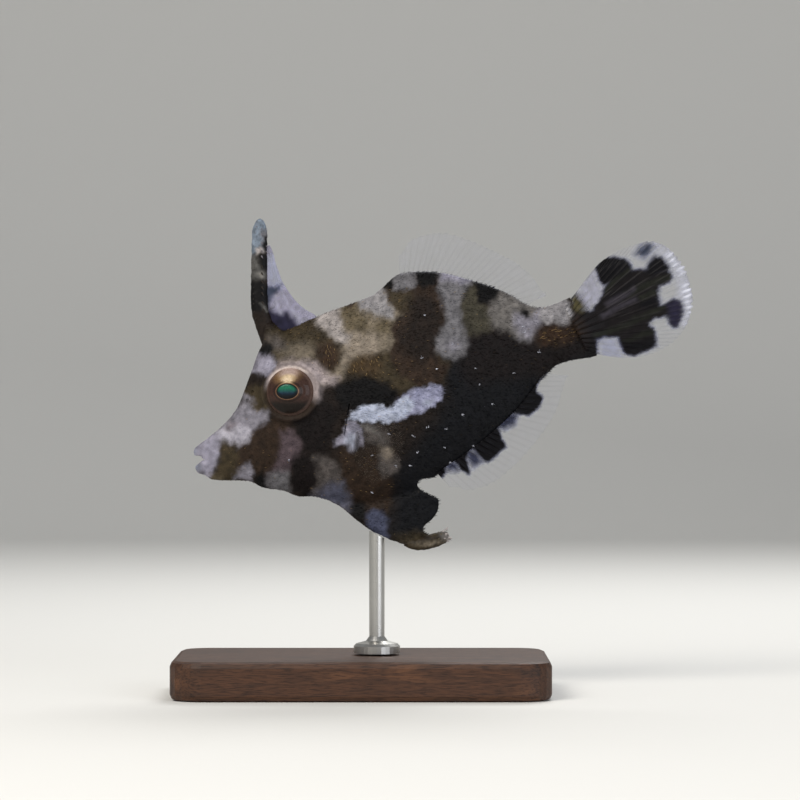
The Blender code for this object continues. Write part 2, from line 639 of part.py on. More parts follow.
def dorsal_spine(fish, bone):
    """The tall first dorsal spine, with a row of barbs down each side of its back edge."""
    rings = []
    for i in range(SPINE_STEPS + 1):
        t = i / SPINE_STEPS
        point, up, back = spine_frame(t)
        depth, width = spine_size(t)
        tip = math.sqrt(max(0.08, 1 - max(0.0, (t - 0.92) / 0.08) ** 2))
        turns = [2 * math.pi * k / SPINE_SIDES for k in range(SPINE_SIDES)]
        ring = [
            point + tip * (back * depth * math.cos(a) + Vector((0, width * math.sin(a), 0))) for a in turns
        ]
        rings.append([over_back(p) for p in ring])
    rings[0] = [Vector((p.x, p.y, float(smooth(BACK, p.x)) + SEAM)) for p in rings[0]]
    spine = new_object("dorsal_spine", loft(rings), bone, fish)
    barbs = []
    for side in (-1, 1):
        for n in range(BARBS):
            t = 0.30 + 0.62 * (n + 0.25 * (side > 0)) / BARBS
            point, up, back = spine_frame(t)
            depth, width = spine_size(t)
            root = point + back * depth * 0.35 + Vector((0, side * width * 0.5, 0))
            aim = (back * 0.35 + Vector((0, side * 0.8, 0)) - up * 0.55).normalized()
            tip = root + aim * (width * 0.5 + BARB_LENGTH * (1 - 0.35 * t))
            barbs.append(helper_object("barb", cone(root, tip, 0.32 * MM, 0.07 * MM), fish))
    if barbs:
        apply_boolean(spine, barbs, "UNION")


def dorsal_spine_web(fish, finish):
    """The thin web behind the spine, folded lengthways, that ties it to the back."""

    def root(s):
        point, up, back = spine_frame(WEB_FROM + (WEB_TO - WEB_FROM) * s)
        depth, width = spine_size(WEB_FROM + (WEB_TO - WEB_FROM) * s)
        return over_back(point + back * (depth + SEAM))

    def margin(s):
        return over_back(along(WEB_EDGE, s))

    def half_thickness(s, r):
        fold = WEB_FOLD * abs(math.sin(3 * math.pi * r)) * (1 - r)
        return MEMBRANE + fold + WEB_FOLD * 2 * (1 - r) * s

    new_object("dorsal_spine_web", fin_plate(root, margin, 16, WEB_ROWS, half_thickness), finish, fish)


def belly_flap(fish, skin):
    """The loose flap of skin between pelvis and belly: a thick keel in front, thin and pleated behind."""

    def root(s):
        x = FLAP_FROM + (FLAP_TO - FLAP_FROM) * s
        return Vector((x, 0, float(smooth(BELLY, x)) - SEAM))

    def margin(s):
        return along(FLAP_EDGE, s)

    def half_thickness(s, r):
        keel = KEEL * float(smooth(FLAP_TAPER, s))
        pleat = FLAP_PLEAT * math.sin(14 * math.pi * s) * r if s > 0.55 else 0.0
        edge = math.sqrt(max(0.12, 1 - max(0.0, (r - 0.78) / 0.22) ** 2))
        return (FLAP_ROOT * (1 - r) + keel * r + pleat) * edge

    new_object("belly_flap", fin_plate(root, margin, *FLAP_GRID, half_thickness), skin, fish)


def pelvic_spine(fish, bone):
    """The rough blunt end of the pelvis, with a crown of small barbs."""
    points = [Vector((x, 0, z)) * MM for x, z in PELVIC_LINE]
    spine = new_object("pelvic_spine", curve_tube(points, PELVIC_RADII, 3), bone, fish)
    barbs = []
    for n in range(PELVIC_BARBS):
        angle = 2 * math.pi * (n + 0.5) / PELVIC_BARBS
        root = points[-2].lerp(points[-1], 0.5 * (n % 2))
        aim = Vector((0.75, 0.65 * math.cos(angle), 0.65 * math.sin(angle))).normalized()
        barbs.append(helper_object("barb", cone(root, root + aim * 1.35 * MM, 0.34 * MM, 0.08 * MM), fish))
    if barbs:
        apply_boolean(spine, barbs, "UNION")


def display_stand(fish, base_finish, rod_finish):
    """A chamfered plinth and one turned rod, cut off along the belly keel that it holds."""
    bpy.ops.mesh.primitive_cube_add(size=1, location=(0, 0, BASE_SIZE.z / 2))
    base = bpy.context.object
    base.name = "stand_base"
    base.scale = BASE_SIZE
    bpy.ops.object.transform_apply(location=False, rotation=False, scale=True)
    corners = base.modifiers.new("corners", "BEVEL")
    corners.width, corners.segments, corners.limit_method = BASE_CORNER, 5, "WEIGHT"
    weights = base.data.attributes.new("bevel_weight_edge", "FLOAT", "EDGE")
    for edge in base.data.edges:
        one, two = (base.data.vertices[v].co for v in edge.vertices)
        weights.data[edge.index].value = 1.0 if abs(one.z - two.z) > 1 * MM else 0.0
    chamfer = base.modifiers.new("chamfer", "BEVEL")
    chamfer.width, chamfer.segments, chamfer.limit_method = BASE_CHAMFER, 2, "ANGLE"
    chamfer.angle_limit = math.radians(60)
    base.data.materials.append(base_finish)
    for owner in list(base.users_collection):
        owner.objects.unlink(base)
    bpy.data.collections["filefish"].objects.link(base)

    keel = fish.matrix_world @ along_keel(ROD_AT)
    ahead = fish.matrix_world @ along_keel(ROD_AT + 1 * MM)
    slope = math.atan2(ahead.z - keel.z, ahead.x - keel.x)
    foot = BASE_SIZE.z + SEAM
    outline = [
        (0, keel.z + 4 * MM), (ROD_RADIUS, keel.z + 4 * MM), (ROD_RADIUS, foot + 2.6 * MM),
        (ROD_RADIUS + 0.5 * MM, foot + 1.9 * MM), (ROD_FOOT - 0.4 * MM, foot + 1.5 * MM),
        (ROD_FOOT, foot + 1.1 * MM), (ROD_FOOT, foot), (0, foot),
    ]
    mesh = bpy.data.meshes.new("stand_rod")
    edges = [(i, i + 1) for i in range(len(outline) - 1)]
    mesh.from_pydata([(x, 0, z) for x, z in outline], edges, [])
    mesh.materials.append(rod_finish)
    rod = bpy.data.objects.new("stand_rod", mesh)
    rod.location = (keel.x, 0, 0)
    bpy.data.collections["filefish"].objects.link(rod)
    turn = rod.modifiers.new("turn", "SCREW")
    turn.steps = turn.render_steps = ROD_STEPS
    turn.use_merge_vertices = True
    turn.merge_threshold = 0.01 * MM
    off = bmesh.new()
    bmesh.ops.create_cube(off, size=1.0)
    reach = 20 * MM
    place = Matrix.Translation((keel.x, 0, keel.z - SEAM)) @ Matrix.Rotation(-slope, 4, "Y")
    place = place @ Matrix.Translation((0, 0, reach / 2)) @ Matrix.Diagonal((reach, reach, reach, 1))
    bmesh.ops.transform(off, matrix=place, verts=off.verts)
    apply_boolean(rod, [helper_object("top_cut", off)], "DIFFERENCE")


def along_keel(x):
    """The belly flap's front edge at x."""
    front = FLAP_EDGE[:7]
    return Vector((x, 0, float(smooth(front, x))))


def main():
    for old in list(bpy.data.objects):
        bpy.data.objects.remove(old)
    for name in ("filefish", "helpers"):
        bpy.context.scene.collection.children.link(bpy.data.collections.new(name))
    skin = material("filefish skin", (0.16, 0.13, 0.10), 0.6)
    fin = material("fin membrane", (0.55, 0.56, 0.62), 0.35)
    bone = material("rough bone", (0.32, 0.28, 0.24), 0.55)
    eye_finish = material("eye", (0.10, 0.22, 0.16), 0.1)
    wood = material("walnut", (0.12, 0.07, 0.04), 0.45)
    steel = material("brushed steel", (0.6, 0.6, 0.6), 0.3, 1.0)

    fish = bpy.data.objects.new("fish", None)
    bpy.data.collections["filefish"].objects.link(fish)
    pitch = Matrix.Rotation(-PITCH, 4, "Y")
    pelvic_middles = [(pitch @ Vector((x, 0, z)) * MM).z for x, z in PELVIC_LINE]
    lowest = min(middle - radius for middle, radius in zip(pelvic_middles, PELVIC_RADII))
    centre = pitch @ Vector((STAND_AT, 0, 0))
    fish.matrix_world = Matrix.Translation((-centre.x, 0, LOWEST_POINT - lowest)) @ pitch
    bpy.context.view_layer.update()

    flesh(fish, skin)
    eyes(fish, eye_finish)
    dorsal_spine(fish, bone)
    dorsal_spine_web(fish, fin)
    soft_fin("soft_dorsal_fin", BACK, DORSAL_FROM, DORSAL_TO, DORSAL_RAYS, 1, fish, fin)
    soft_fin("anal_fin", BELLY, ANAL_FROM, ANAL_TO, ANAL_RAYS, -1, fish, fin)
    caudal_fin(fish, fin)
    for side in (-1, 1):
        pectoral_fin(side, fish, fin)
    belly_flap(fish, skin)
    pelvic_spine(fish, bone)
    display_stand(fish, wood, steel)


main()
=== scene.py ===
# %% [markdown]
# # An aiptasia-eating filefish, life size, on a display stand
# The animal is about 8 cm long, deep and thin, and swims nose down. Its skin is a velvet of tiny
# bristles, mottled in olive, brown, black and pale lilac. The fins are clear film over fine rays.
# The measured solids are loaded first and stay fixed: every piece below is made over them.

# %% Load the measured solids
import math

import bmesh
import bpy
import numpy as np
from mathutils import Matrix, Vector, noise
from mathutils.bvhtree import BVHTree


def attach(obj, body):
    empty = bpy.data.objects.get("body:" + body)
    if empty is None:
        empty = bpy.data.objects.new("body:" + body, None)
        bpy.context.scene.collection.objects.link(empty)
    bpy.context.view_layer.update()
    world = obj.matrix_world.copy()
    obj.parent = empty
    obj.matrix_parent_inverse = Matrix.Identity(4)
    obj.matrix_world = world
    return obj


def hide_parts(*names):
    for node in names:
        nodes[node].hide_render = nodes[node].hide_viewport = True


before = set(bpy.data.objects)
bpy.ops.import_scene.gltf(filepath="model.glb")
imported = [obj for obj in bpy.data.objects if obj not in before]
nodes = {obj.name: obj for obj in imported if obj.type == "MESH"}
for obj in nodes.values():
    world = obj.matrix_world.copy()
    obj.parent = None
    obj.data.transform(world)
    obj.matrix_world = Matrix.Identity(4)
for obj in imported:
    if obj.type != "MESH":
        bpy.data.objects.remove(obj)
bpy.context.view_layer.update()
MM = 0.001
print("solids loaded:", len(nodes), "nodes")

# %% [markdown]
# The fish is built in its own frame, in millimetres: X runs from the snout to the tail, Z up through
# the back, Y across with the left side at -Y. One matrix pitches it nose down over the stand. The
# photograph is taken square to the flank, so a place in it is a place on the fish, at one scale.

# %% The animal's frame, and the photograph's scale
PITCH = math.radians(19.0)
SNOUT = Vector((-25.53, 0.0, 36.51))
POSE = Matrix.Scale(MM, 4) @ Matrix.Translation(SNOUT) @ Matrix.Rotation(-PITCH, 4, "Y")
TO_ANIMAL = POSE.inverted()
PIXEL = 0.155  # millimetres on the flank for each pixel of the photograph
SNOUT_PIXEL = (197, 458)
VIEW_CENTRE = Vector((5.93, 0.0, 45.5))


def photo_place(points):
    """Where points of the animal's frame, in mm, show in the photograph, in pixels."""
    world = np.asarray(points) @ np.array(POSE.to_3x3()).T / MM + np.array(SNOUT)
    across = SNOUT_PIXEL[0] + (world[:, 0] - SNOUT.x) / PIXEL
    down = SNOUT_PIXEL[1] - (world[:, 2] - SNOUT.z) / PIXEL
    return np.stack((across, down), axis=1)


def animal_place(across, down):
    """The side-view place, in mm of the animal's frame, of a pixel of the photograph."""
    x = SNOUT.x + (across - SNOUT_PIXEL[0]) * PIXEL
    z = SNOUT.z - (down - SNOUT_PIXEL[1]) * PIXEL
    return TO_ANIMAL @ (Vector((x, 0, z)) * MM)


def animal_line(pixels):
    """The same for a row of pixels, as (x, z) pairs."""
    return [(place.x, place.z) for place in (animal_place(*pixel) for pixel in pixels)]


# %% [markdown]
# The camera looks level at the left flank from 60 cm, with a long lens, as the photographer did.

# %% Camera
CAMERA_DISTANCE, VIEW_WIDTH = 600.0, 124.0  # in mm
SENSOR, NEAREST = 36.0, 0.01  # the sensor's width in mm, and the nearest place that shows in metres
scene = bpy.context.scene
scene.view_settings.view_transform = "Standard"
lens = bpy.data.cameras.new("camera")
lens.sensor_width = SENSOR
lens.lens = SENSOR * CAMERA_DISTANCE / VIEW_WIDTH
lens.clip_start = NEAREST
camera = bpy.data.objects.new("camera", lens)
camera.location = (VIEW_CENTRE + Vector((0, -CAMERA_DISTANCE, 0))) * MM
camera.rotation_euler = (math.pi / 2, 0, 0)
scene.collection.objects.link(camera)
scene.camera = camera
print("camera lens", round(lens.lens, 1), "mm")

# %% [markdown]
# Every finish below is a small tree of shader nodes. It could be laid out by hand in the editor. Here
# one function adds a node with its settings and its links, so that each finish reads as a short list.
# Colours are written as hex codes, as a painter's chart has them, and turned into the linear numbers
# that light is reckoned in.

# %% Colours, shader nodes and materials
SHADE = {"data_type": "RGBA", "blend_type": "MULTIPLY"}  # a Mix node that darkens a colour by another


def linear(hex_colour):
    """An sRGB hex colour as the linear RGBA that shaders use."""
    parts = [int(hex_colour[i:i + 2], 16) / 255 for i in (1, 3, 5)]
    return tuple(c / 12.92 if c <= 0.04045 else ((c + 0.055) / 1.055) ** 2.4 for c in parts) + (1.0,)


def add(tree, kind, inputs=None, stops=(), **settings):
    """Adds a node. An input is a value, a node or one of its outputs. stops are a ramp's (place, hex)."""
    node = tree.nodes.new(kind)
    for name, value in settings.items():
        setattr(node, name, value)
    for key, value in (inputs or {}).items():
        if isinstance(value, bpy.types.Node):
            value = value.outputs[0]
        if isinstance(value, bpy.types.NodeSocket):
            tree.links.new(value, node.inputs[key])
        else:
            node.inputs[key].default_value = value
    for i, (place, colour) in enumerate(stops):
        spots = node.color_ramp.elements
        spot = spots[i] if i < len(spots) else spots.new(1.0)
        spot.position, spot.color = place, linear(colour)
    return node


def new_material(name):
    """An empty node material, its tree, and the place on the object, in metres."""
    made = bpy.data.materials.new(name)
    made.use_nodes = True
    made.node_tree.nodes.clear()
    return made, made.node_tree, add(made.node_tree, "ShaderNodeTexCoord").outputs["Object"]


def finish_material(tree, inputs):
    """The Principled shader and the output that end every material here."""
    shader = add(tree, "ShaderNodeBsdfPrincipled", inputs)
    add(tree, "ShaderNodeOutputMaterial", {"Surface": shader.outputs[0]})


# %% [markdown]
# A museum model is photographed under soft lamps, not in blue water. A large warm one at the upper left
# models the flank, a weaker one fills from the right, and one behind rims the clear fins. The floor is
# pale paper that curves up behind the fish, so that no horizon cuts through it.

# %% Studio lamps, background and floor
LAMPS = {  # each lamp: its place and its width in mm, its power in watts and its colour
    "key": ((-260, -420, 420), 300, 3.2, "#fffaf2"),
    "fill": ((380, -420, 160), 320, 1.1, "#f2f6ff"),
    "back": ((120, 330, 420), 260, 1.6, "#ffffff"),
}
SKY_TONE, SKY_STRENGTH = "#eef1f6", 0.38
FLOOR_HALF, FLOOR_FRONT, FLOOR_BACK, FLOOR_LEVEL = 3000.0, -4000.0, 660.0, -0.02
SWEEP_RADIUS, SWEEP_TOP, SWEEP_STEPS = 240.0, 1500.0, 24


def lamp(name, place, size, watts, colour):
    """A square soft lamp that looks at the fish."""
    data = bpy.data.lights.new(name, "AREA")
    data.size, data.energy, data.color = size * MM, watts, linear(colour)[:3]
    made = bpy.data.objects.new(name, data)
    made.location = Vector(place) * MM
    made.rotation_euler = (VIEW_CENTRE - Vector(place)).to_track_quat("-Z", "Y").to_euler()
    scene.collection.objects.link(made)


def studio_sweep():
    """Pale paper: a floor that curves up into a wall."""
    turns = [math.pi / 2 * i / SWEEP_STEPS for i in range(SWEEP_STEPS + 1)]
    curve = [(FLOOR_BACK + SWEEP_RADIUS * math.sin(a), SWEEP_RADIUS * (1 - math.cos(a))) for a in turns]
    profile = [(FLOOR_FRONT, 0.0), *curve, (FLOOR_BACK + SWEEP_RADIUS, SWEEP_TOP)]
    points = [(x * MM, y * MM, (z + FLOOR_LEVEL) * MM) for y, z in profile for x in (-FLOOR_HALF, FLOOR_HALF)]
    faces = [(2 * i, 2 * i + 1, 2 * i + 3, 2 * i + 2) for i in range(len(profile) - 1)]
    mesh = bpy.data.meshes.new("studio_paper")
    mesh.from_pydata(points, [], faces)
    mesh.polygons.foreach_set("use_smooth", [True] * len(faces))
    made = bpy.data.objects.new("studio_paper", mesh)
    scene.collection.objects.link(made)
    finish, tree, _ = new_material("matt studio paper")
    finish_material(tree, {"Base Color": linear("#dddcd8"), "Roughness": 0.85})
    mesh.materials.append(finish)


for lamp_name, settings in LAMPS.items():
    lamp(lamp_name, *settings)
scene.world = bpy.data.worlds.new("studio")
scene.world.use_nodes = True
sky = scene.world.node_tree.nodes["Background"].inputs
sky["Color"].default_value = linear(SKY_TONE)
sky["Strength"].default_value = SKY_STRENGTH
studio_sweep()
print("studio ready:", len(LAMPS), "lamps")

# %% [markdown]
# The tones are a chart of the fish's colours, each picked to look right under the studio's lamps, but
# for two that are painted light: bright is a highlight along the upper lids, blue a bluish sheen on
# the lips. Two kinds of noise keep the paint from looking drawn: one pushes the edges of every marking
# about, and a finer one makes the paint vary inside it. The far side of the body gets another part of
# the noise.

# %% Tones of the skin
# Two tones below are painted light: bright, a highlight on the upper lids, and blue, a bluish sheen on the
# lips.
TONES = {
    "white": "#afb6c9", "pale": "#9a9492", "lilac": "#8f8d9c", "grey": "#69686c", "cream": "#887e72",
    "beige": "#736a5d", "sand": "#5c5342", "moss": "#3e3b31", "olive": "#3a3224", "rust": "#3e3120",
    "brown": "#2e231b", "umber": "#1f1814", "soot": "#130e0e", "black": "#0b0a0b", "ink": "#0e0f13",
    "blush": "#a39899", "dusk": "#51464b", "smoke": "#514c4a", "dim lilac": "#42465a", "blue": "#939bae",
    "blue lilac": "#9395ae", "pearl": "#a5a3ae", "bright": "#e0d2cc", "mist": "#807e88", "ash": "#8a888b",
    "stone": "#656260", "slate": "#4f5161", "russet": "#2f2116",
}
WANDERS = ((2.8, 2.6), (1.0, 2.6), (0.35, 1.5))  # each noise: its grain in mm, its push in pixels
EDGE = 1.7  # how much softer every edge is than its row says
MOTTLE, MOTTLE_GRAIN = 0.45, 0.8  # how strongly the paint varies inside a marking, and how coarsely
FAR_SIDE, MIDDLE_BAND, FLAT = 2.5, 4, 0.4  # how far the noise is moved on the far side, over what width
noise.seed_set(7)  # without it the clock would choose another noise at each run


def rise(value):
    """A smooth step from 0 to 1."""
    value = np.clip(value, 0, 1)
    return value * value * (3 - 2 * value)


def tone(name, tones=TONES):
    """A tone as linear red, green and blue, and how solid it is."""
    hex_colour, solid = tones[name] if isinstance(tones[name], tuple) else (tones[name], 1.0)
    return np.array([*linear(hex_colour)[:3], solid])


def laid_over(under, over, cover):
    """Rows mixed towards other rows, by a cover of 0 to 1 for each."""
    return under + (over - under) * np.clip(cover, 0, 1)[:, None]


def wander(points, grain, reach):
    """A smooth random push for each point, unlike on the two sides of the body."""
    spots = points / grain
    spots[:, 1] = spots[:, 1] * FLAT + FAR_SIDE * rise(spots[:, 1] / MIDDLE_BAND)
    pushes = np.empty((len(points), 2))
    for i, spot in enumerate(spots):
        push = noise.noise_vector(spot)
        pushes[i] = push.x, push.z
    return pushes * reach


def oval_distance(place, oval):
    """How far each place is outside an oval, in pixels, and less than 0 inside it."""
    x, y, half_x, half_y, turn = oval
    turn = math.radians(turn)
    across, down = place[:, 0] - x, place[:, 1] - y
    one = (across * math.cos(turn) + down * math.sin(turn)) / half_x
    two = (down * math.cos(turn) - across * math.sin(turn)) / half_y
    return (np.hypot(one, two) - 1) * min(half_x, half_y)


def outline_distance(place, outline):
    """The same for an outline of corners."""
    corners = np.array([[float(v) for v in corner.split(",")] for corner in outline.split()])
    far, inside = np.full(len(place), 1e9), np.zeros(len(place), bool)
    for one, two in zip(corners, np.roll(corners, -1, axis=0)):
        side, off = two - one, place - one
        share = np.clip(off @ side / (side @ side), 0, 1)
        far = np.minimum(far, np.linalg.norm(off - share[:, None] * side, axis=1))
        spans = (place[:, 1] < one[1]) != (place[:, 1] < two[1])
        crossing = one[0] + (place[:, 1] - one[1]) * side[0] / (side[1] or 1e-9)
        inside ^= spans & (place[:, 0] < crossing)
    return np.where(inside, -far, far)


def marking_cover(place, soft, shape):
    """How much of each place a marking covers, from 0 to 1."""
    distance = outline_distance(place, shape) if isinstance(shape, str) else oval_distance(place, shape)
    return 1 - rise((distance + EDGE * soft) / (2 * EDGE * soft))


def paint(points, base, markings, tones=TONES, roam=1.0):
    """The colour and solidity of each point, from a base tone and the markings over it."""
    points = np.asarray(points, float)
    place = photo_place(points)
    place = place + roam * sum(wander(points, grain, reach) for grain, reach in WANDERS)
    made = np.tile(tone(base, tones), (len(points), 1))
    for _, name, soft, shape in markings:
        made = laid_over(made, tone(name, tones), marking_cover(place, soft, shape))
    made[:, :3] *= 1 + MOTTLE * wander(points, MOTTLE_GRAIN, 1.0)[:, :1]
    return made


print(len(TONES), "tones of the skin")

# %% [markdown]
# Markings are what makes this fish. Each has a name, a tone, how soft its edge is in pixels, and its
# shape on the photograph: an outline of a few corners, or an oval as centre, half sizes and turn. They
# are laid over one another as a painter would. The same list paints skin and bristles, on both flanks.

# %% The markings of the body, in the order they are laid
BODY_MARKINGS = [
    ("rear flank and belly", "ink", 8, "438,350 500,345 545,372 570,345 600,345 600,400 540,430 "
     "480,490 450,545 390,548 393,470 430,425 446,400"),
    ("soot over the rear flank", "soot", 6, "452,362 470,335 500,326 530,340 556,342 590,330 590,352 "
     "545,372 505,380 470,385"),
    ("olive below the saddle", "olive", 5, "346,362 372,352 392,350 436,352 446,362 440,380 420,388 "
     "404,396 384,388 366,376 348,382"),
    ("beige back", "beige", 2.5, "314,300 345,280 370,275 386,278 386,290 389,301 397,306 404,314 "
     "396,319 391,327 392,340 389,351 374,353 366,359 352,362 346,368 344,378 330,382 320,384 318,376 "
     "328,371 342,361 341,347 330,338 320,332 314,322"),
    ("pale shoulder of the back", "pale", 2.5, "314,300 330,298 341,298 342,318 344,330 352,338 352,346 "
     "342,346 332,338 320,330 314,322"),
    ("pale crest", "ash", 2.5, "356,290 366,285 378,280 385,282 386,292 389,301 393,309 394,318 386,321 "
     "376,318 368,312 358,310"),
    ("middle of the pale back", "cream", 3, "352,332 366,334 377,336 378,350 368,358 352,360 "
     "344,366 346,350"),
    ("sandy fleck of the back", "sand", 2.5, "341,296 352,290 357,304 359,312 366,318 371,326 366,332 "
     "356,333 348,328 343,318"),
    ("dark nick in that fleck", "brown", 2, (349, 302, 5, 6, 0)),
    ("sandy fleck behind it", "sand", 3, (384, 328, 10, 7, 0)),
    ("rusty bristles below the back", "rust", 4, "350,362 362,356 378,358 381,368 376,376 362,376 350,372"),
    ("saddle", "brown", 2, "386,276 392,284 393,291 402,291 411,289 415,284 411,277 412,262 425,258 "
     "439,262 438,279 435,289 441,303 443,318 445,325 439,332 436,342 436,356 446,366 440,382 420,386 "
     "402,378 394,366 390,351 393,338 391,327 397,322 406,318 399,311 389,301 386,290"),
    ("olive front of the saddle", "olive", 2.5, "388,289 400,293 412,291 414,305 408,314 399,311 390,302"),
    ("black crown of the saddle", "black", 2, "413,262 425,258 438,262 437,275 434,285 424,287 "
     "416,284 413,276"),
    ("heart of the saddle", "umber", 4, "408,300 428,292 438,306 440,330 437,345 434,358 420,362 404,352 "
     "396,340 406,326"),
    ("pale spot on the saddle", "grey", 2, "392,264 404,262 412,264 413,278 416,285 410,289 400,291 "
     "392,290"),
    ("black nick", "black", 1.2, "385,280 388,270 392,268 393,280 391,288 385,289"),
    ("grey bar", "grey", 2.5, "439,260 455,262 473,268 474,281 467,292 461,305 461,322 466,333 468,344 "
     "463,354 452,360 444,357 436,352 436,342 440,332 445,322 443,308 440,298 437,285"),
    ("pale top of the grey bar", "lilac", 3, "441,260 473,268 473,281 462,284 448,280 440,278"),
    ("pale foot of the grey bar", "mist", 4, (452, 346, 4, 5, 0)),
    ("mossy bar", "moss", 3, "461,300 468,290 474,284 478,300 486,306 492,316 492,328 480,334 468,336 "
     "463,328 461,315"),
    ("black crown behind", "black", 2, "475,268 490,270 504,276 502,293 496,300 488,303 478,302 475,292"),
    ("pale rear back", "stone", 3, "490,303 500,297 506,282 520,284 534,294 545,300 543,312 541,322 "
     "537,332 531,339 522,341 516,336 510,331 500,329 492,326 488,314"),
    ("lilac rear back", "mist", 3, "514,312 530,318 543,306 541,324 536,334 530,339 522,339 517,328 "
     "512,322"),
    ("peduncle spot", "black", 1.5, (524.5, 313.5, 5, 4, 0)),
    ("pale peduncle top", "ash", 2, "541,298 552,294 564,288 569,300 571,316 568,324 560,326 552,325 "
     "545,323 540,318"),
    ("rusty bristles of the peduncle", "russet", 4, "534,328 548,324 570,325 578,334 566,344 "
     "545,345 535,340"),
    ("peduncle ring", "umber", 2, "568,286 576,284 582,300 584,322 574,322 570,308"),
    ("golden fleck behind the ring", "olive", 2, (577, 302, 5, 6, 0)),
    ("black flank bar", "black", 3, "334,386 350,379 365,375 380,379 392,385 398,392 396,402 386,408 "
     "370,408 356,408 342,412 336,400"),
    ("lilac rear of the streak", "blue lilac", 1.2, "394,404 400,399 408,395 412,391 420,387 433,384 "
     "440,386 443,392 441,402 430,407 423,411 412,414 404,417 394,423"),
    ("white streak", "white", 0.9, "349,419 352,414 356,408 363,406 369,407 376,405 386,407 393,405 "
     "402,399 410,397 414,402 410,412 404,417 397,421 389,422 380,422 369,422 361,421 354,420"),
    ("fleck in its lilac rear", "white", 2, (428, 403, 4, 2, -20)),
    ("smoky fan", "smoke", 3, "364,424 380,425 388,432 390,440 384,446 372,444 364,438"),
    ("wisp of the fan", "stone", 1.2, "360,424 372,426 384,434 383,437 372,431 361,427"),
    ("lilac branch below it", "lilac", 1.6, "349,420 356,422 362,430 365,440 363,445 358,445 "
     "354,455 350,455 "
     "349,449 344,444 335,444 334,440 341,436 346,430"),
    ("bright heart of the branch", "white", 3, (351, 440, 4, 6, 0)),
    ("brown band to the belly", "brown", 3, "345,447 356,450 368,446 378,452 378,468 384,476 391,474 "
     "391,500 388,512 376,510 366,514 364,520 356,520 348,508 349,496 344,482 342,470 340,458"),
    ("pale fan patch", "smoke", 2, "379,450 386,447 393,454 400,461 400,470 392,475 382,476 377,468"),
    ("cream top of that patch", "cream", 2.5, (386, 452, 7, 5, 30)),
    ("dark low band", "black", 3, "349,502 358,500 368,506 366,516 360,524 348,516"),
    ("lilac low spot", "dim lilac", 2.5, "366,514 374,509 384,512 389,520 389,532 388,545 376,540 366,524"),
    ("pelvis keel", "olive", 3, (421, 539, 22, 7, 0)),
]

HEAD_MARKINGS = [
    ("brown of the snout", "brown", 4, "238,440 262,424 276,415 292,420 298,440 300,470 292,494 "
     "240,490 232,470"),
    ("soot behind the eye", "soot", 5, "294,420 314,408 322,398 340,408 336,430 328,452 312,456 "
     "302,448 296,434"),
    ("olive brow", "olive", 3, "268,332 290,322 312,318 316,328 322,334 332,339 339,346 342,355 340,364 "
     "331,372 323,372 318,366 314,360 300,362 286,364 272,362"),
    ("sandy brow", "beige", 5, (300, 353, 15, 7, -4)),
    ("rusty heart of the brow", "russet", 4, "320,344 332,343 340,352 340,363 331,371 323,370 "
     "318,362 316,352"),
    ("grey at the spine's foot", "smoke", 4, (277, 344, 9, 6, 20)),
    ("pale over the eye", "blush", 3.5, "274,366 284,362 300,360 312,361 320,367 326,374 338,378 334,384 "
     "320,383 318,400 300,372 280,376"),
    ("dark spot at the spine", "black", 1.8, "258,352 264,343 270,344 273,350 270,357 262,358"),
    ("pale forehead patch", "lilac", 2, "248,372 256,360 260,354 270,356 276,361 274,369 278,374 268,377 "
     "262,375 254,374"),
    ("dark brow bar", "umber", 2, "242,388 250,374 258,373 263,378 262,387 254,391"),
    ("olive before the eye", "olive", 2.5, "244,390 254,386 264,384 270,390 270,410 262,413 252,410 "
     "245,402"),
    ("pale fleck before the eye", "mist", 2.5, (247, 397, 5, 3, 30)),
    ("pale band, upper lobe", "mist", 2.5, "232,412 244,401 252,406 258,411 268,411 268,419 260,426 "
     "253,433 240,430 230,422"),
    ("pale band, lower lobe", "pearl", 2.5, "212,432 224,422 236,422 252,430 248,441 240,446 "
     "230,441 220,440"),
    ("notch of the pale band", "dusk", 2.5, (231, 425, 5, 2.5, -30)),
    ("lips", "lilac", 2, "186,450 194,440 202,434 212,430 220,436 222,447 220,457 217,466 212,475 "
     "206,482 194,478 186,468"),
    ("olive behind the lips", "olive", 3, "222,440 230,441 238,446 240,455 238,468 234,484 214,486 "
     "213,474 218,464 221,452"),
    ("mossy chin", "sand", 3, "206,488 212,474 222,474 228,482 226,488"),
    # The two blue ovals at the lip tips are a painted bluish sheen, the light on the lips' edges.
    ("bluish sheen painted on the upper lip", "blue", 3, (193, 451.5, 3, 4.5, 0)),
    ("bluish sheen painted on the lower lip", "blue", 3, (195, 466.5, 3, 4, 0)),
    ("pale chin patch", "mist", 2, "251,461 253,468 253,482 243,481 233,480 238,472 244,465"),
    ("foot of the cheek bar", "black", 2.5, "254,474 262,470 270,478 270,490 256,492"),
    ("mauve cheek", "dusk", 3, "283,430 294,430 300,441 302,452 298,464 290,471 278,478 268,476 275,462 "
     "280,450 280,440"),
    ("pale foot of the mauve", "grey", 3, "268,476 276,471 288,470 292,480 291,492 270,490"),
    ("dark throat blotch", "soot", 3, "293,462 301,453 311,454 319,463 321,476 318,488 308,498 "
     "292,494 290,476"),
    ("grey behind the throat", "smoke", 3, "314,457 323,456 336,461 342,470 344,482 349,496 348,512 "
     "330,503 310,500 312,490 319,482 319,470"),
    ("slate lower part of it", "slate", 4, "322,488 334,482 345,484 349,496 348,512 330,503 309,499"),
]
print(len(BODY_MARKINGS) + len(HEAD_MARKINGS), "markings")

# %% [markdown]
# The skin and the fins are worked out as rows of numbers, which is quicker than moving points by hand
# and can be done again at once with other values. So these helpers come first: they read a mesh into
# rows and store rows on it, run one modifier and keep what it makes, and stretch a surface over rings.


# %% Small helpers for meshes
def new_object(name, mesh, finish=None):
    """An object at the origin that carries the mesh."""
    made = bpy.data.objects.new(name, mesh)
    scene.collection.objects.link(made)
    if finish:
        mesh.materials.clear()
        mesh.materials.append(finish)
    return made


